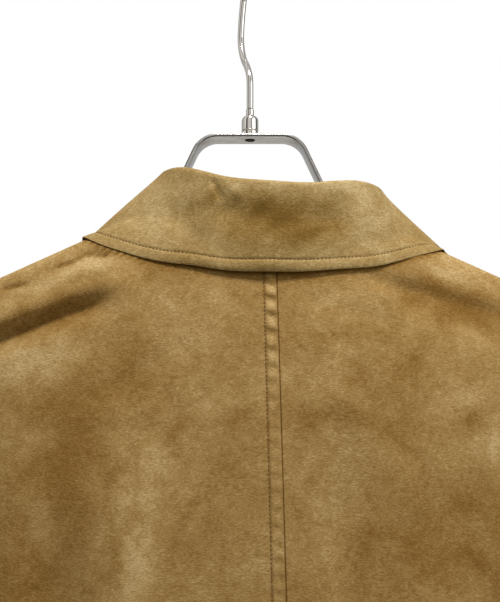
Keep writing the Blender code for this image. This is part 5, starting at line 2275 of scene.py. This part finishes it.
@dataclass
class Studio:
    """A pale floor, soft lights, a white room and the photograph's camera."""

    eye: tuple[float, float, float] = (0.0, 0.640, -0.352)
    look_up: float = math.radians(8)
    focal_pixels: float = 840.0
    frame_height: float = 602.0
    sensor: float = 36.0
    floor_z: float = -1.12
    room_light: tuple[tuple[float, float], ...] = ((0.0, 0.15), (0.46, 0.20), (0.62, 0.33), (1.0, 0.52))
    room_tint: tuple[float, float, float] = (1.0, 0.97, 0.90)
    room_height: tuple[tuple[float, float], ...] = ((0.0, 0.7), (0.33, 0.9), (0.5, 0.8), (1.0, 1.0))
    room_walls: tuple[tuple[float, float], ...] = (
        (-180, 0.62), (-104, 0.50), (-98, 0.75), (-74, 0.75), (-70, 1.0), (-58, 1.0), (-54, 0.05),
        (-36, 0.05), (-30, 0.80), (18, 0.80), (22, 0.06), (38, 0.06), (43, 1.0), (86, 1.0), (92, 0.08),
        (108, 0.08), (114, 0.50), (180, 0.62))

    def make_camera(self) -> None:
        """Places the camera behind the jacket, a little below its collar and looking up."""
        data = bpy.data.cameras.new("camera")
        data.sensor_width = self.sensor
        data.lens = self.focal_pixels * self.sensor / self.frame_height
        data.clip_start, data.clip_end = 0.01, 50
        camera = linked("camera", data)
        camera.location = self.eye
        camera.rotation_euler = (math.pi / 2 + self.look_up, 0, math.pi)
        bpy.context.scene.camera = camera

    def make_light(self, name: str, place: tuple[float, float, float],
                   target: tuple[float, float, float], size: tuple[float, float],
                   power: float, colour: tuple[float, float, float] = (1, 1, 1),
                   mirrored: bool = True) -> None:
        """Places a soft box.

        Args:
            name: the light's name.
            place: its middle.
            target: where it points.
            size: its width and height.
            power: in watts.
            colour: its tint.
            mirrored: whether polished metal reflects it.
        """
        data = bpy.data.lights.new(name, "AREA")
        data.shape = "RECTANGLE"
        data.size, data.size_y = size
        data.energy = power
        data.color = colour
        light = linked(name, data)
        light.location = place
        light.visible_glossy = mirrored
        aim = Vector(target) - Vector(place)
        light.rotation_euler = aim.to_track_quat("-Z", "Y").to_euler()

    def make_room(self) -> None:
        """Surrounds the scene with a white room, brightest overhead, whose tall windows and dark
        stands show only in polished metal."""
        world = bpy.data.worlds.new("studio")
        bpy.context.scene.world = world
        world.use_nodes = True
        tree = world.node_tree
        tree.nodes.clear()

        def add(kind: str, *sources: object, **settings: object) -> bpy.types.Node:
            """Adds a node fed by sockets or numbers."""
            node = tree.nodes.new(kind)
            for name, value in settings.items():
                setattr(node, name, value)
            for socket, source in zip(node.inputs, sources):
                if isinstance(source, bpy.types.NodeSocket):
                    tree.links.new(source, socket)
                elif source is not None:
                    socket.default_value = source
            return node

        def ramp(share: bpy.types.NodeSocket, stops: Sequence[tuple[float, float]],
                 tint: tuple[float, float, float] = (1, 1, 1)) -> bpy.types.NodeSocket:
            """Turns a share into a brightness of one tint."""
            node = add("ShaderNodeValToRGB", share)
            elements = node.color_ramp.elements
            while len(elements) < len(stops):
                elements.new(0.5)
            for element, (where, level) in zip(elements, stops):
                element.position = where
                element.color = (*(level * part for part in tint), 1)
            return node.outputs["Color"]

        axes = add("ShaderNodeSeparateXYZ", add("ShaderNodeTexCoord").outputs["Generated"])
        rise = add("ShaderNodeMath", axes.outputs["Z"], 0.5, 0.5, operation="MULTIPLY_ADD").outputs[0]
        west = add("ShaderNodeMath", axes.outputs["X"], -1.0, operation="MULTIPLY").outputs[0]
        around = add("ShaderNodeMath", west, axes.outputs["Y"], operation="ARCTAN2").outputs[0]
        share = add("ShaderNodeMath", around, 1 / TAU, 0.5, operation="MULTIPLY_ADD").outputs[0]
        soft = ramp(rise, self.room_light, self.room_tint)
        walls = [(0.5 + degrees / 360, level) for degrees, level in self.room_walls]
        mirrored = add("ShaderNodeMath", ramp(share, walls), ramp(rise, self.room_height),
                       operation="MULTIPLY").outputs[0]
        path = add("ShaderNodeLightPath").outputs
        glossy = add("ShaderNodeMix", data_type="RGBA")
        seen = add("ShaderNodeMix", data_type="RGBA")
        for node, switch, one, two in ((glossy, path["Is Glossy Ray"], soft, mirrored),
                                       (seen, path["Is Camera Ray"], glossy.outputs[2], None)):
            tree.links.new(switch, node.inputs[0])
            tree.links.new(one, node.inputs[6])
            if two is None:
                node.inputs[7].default_value = (1, 1, 1, 1)
            else:
                tree.links.new(two, node.inputs[7])
        background = add("ShaderNodeBackground", seen.outputs[2], 1.0)
        add("ShaderNodeOutputWorld", background.outputs[0])

    def make_floor(self) -> None:
        """Lays a plain pale floor below the hem."""
        bench = NodeBench("pale_floor")
        shade = bench.noise(1.5, 2, centre=False)
        colour = bench.ramp(shade, ((0.0, (0.80, 0.80, 0.795)), (1.0, (0.84, 0.84, 0.835))))
        material = bench.finish(Base_Color=colour, Roughness=0.9)
        half = 6.0
        vertices = np.array([(-half, -half, 0), (half, -half, 0), (half, half, 0), (-half, half, 0)])
        floor = mesh_object("studio_floor", vertices + [0, 0, self.floor_z],
                            [np.array([[0, 1, 2, 3]])], [material])

    def build(self) -> None:
        """Sets up the camera, the room, the floor and the lights."""
        self.make_camera()
        self.make_room()
        self.make_floor()
        middle = (0.0, 0.0, -0.35)
        self.make_light("key", (-0.08, 0.60, 1.00), middle, (0.26, 0.26), 33, (1.0, 0.985, 0.96))
        self.make_light("fill", (-1.3, 1.0, 0.2), middle, (1.2, 1.2), 7)
        self.make_light("front", (0.3, -1.5, 0.5), middle, (1.2, 1.2), 26, mirrored=False)
        scene = bpy.context.scene
        scene.view_settings.view_transform = "Standard"
        scene.view_settings.look = "None"


# ------------------------------------------------------------------ the whole


PANEL_FLATS = {
    (Face.BACK, Side.LEFT): ((0.300, 0.770), 0.201),
    (Face.BACK, Side.RIGHT): ((0.275, 0.760), 0.179),
    (Face.FRONT, Side.LEFT): ((0.333, 0.775), 0.200),
    (Face.FRONT, Side.RIGHT): ((0.333, 0.760), 0.197),
}


def main() -> None:
    """Builds the jacket, its hanger and the studio, and reports each piece."""
    logging.basicConfig(level=logging.INFO, format="%(name)s: %(message)s")
    cut, finishes = JacketCut(), Finishes()
    Studio().build()
    LOG.info("studio ready")
    Hanger(cut).build(finishes)
    LOG.info("hanger built")
    stand = CollarStand(cut)
    leaf = CollarLeaf(cut, stand)
    panels = {}
    for (face, side), (flat, area) in PANEL_FLATS.items():
        panel = BodyPanel(cut, face, side, flat, area, leaf.collar_shadow_edge())
        panels[face, side] = panel
        obj = panel.build(finishes)
        LOG.info("%s built, %d faces", obj.name, len(obj.data.polygons))
    cuffs = []
    for side in Side:
        LOG.info("%s built", Sleeve(cut, side).build(finishes).name)
        cuff = Cuff(cut, side)
        cuffs.append(cuff)
        LOG.info("%s built", cuff.build(finishes).name)
    LOG.info("%s built", stand.build(finishes).name)
    LOG.info("%s built", leaf.build(finishes).name)
    seam_stitches = Topstitching("body_stitches")
    seam_stitches.run(*panels[Face.BACK, Side.LEFT].vertical_run(CENTRE_SEAM.stitch))
    seam_stitches.run(*panels[Face.FRONT, Side.LEFT].vertical_run(FRONT_EDGE.stitch))
    for panel in panels.values():
        seam_stitches.run(*panel.hem_run())
    seam_stitches.build(finishes.thread, Slot.SUEDE)
    collar_stitches = Topstitching("collar_stitches")
    collar_stitches.run(*leaf.edge_run())
    collar_stitches.build(finishes.thread, Slot.DOUBLE)
    cuff_stitches = Topstitching("cuff_stitches")
    for cuff in cuffs:
        cuff_stitches.run(*cuff.edge_run())
    cuff_stitches.build(finishes.thread, Slot.DOUBLE)
    LOG.info("stitches sewn")
    Buttons(cut, stand).build(finishes)
    LOG.info("buttons sewn on")
    bpy.context.view_layer.update()


if __name__ == "__main__":
    main()
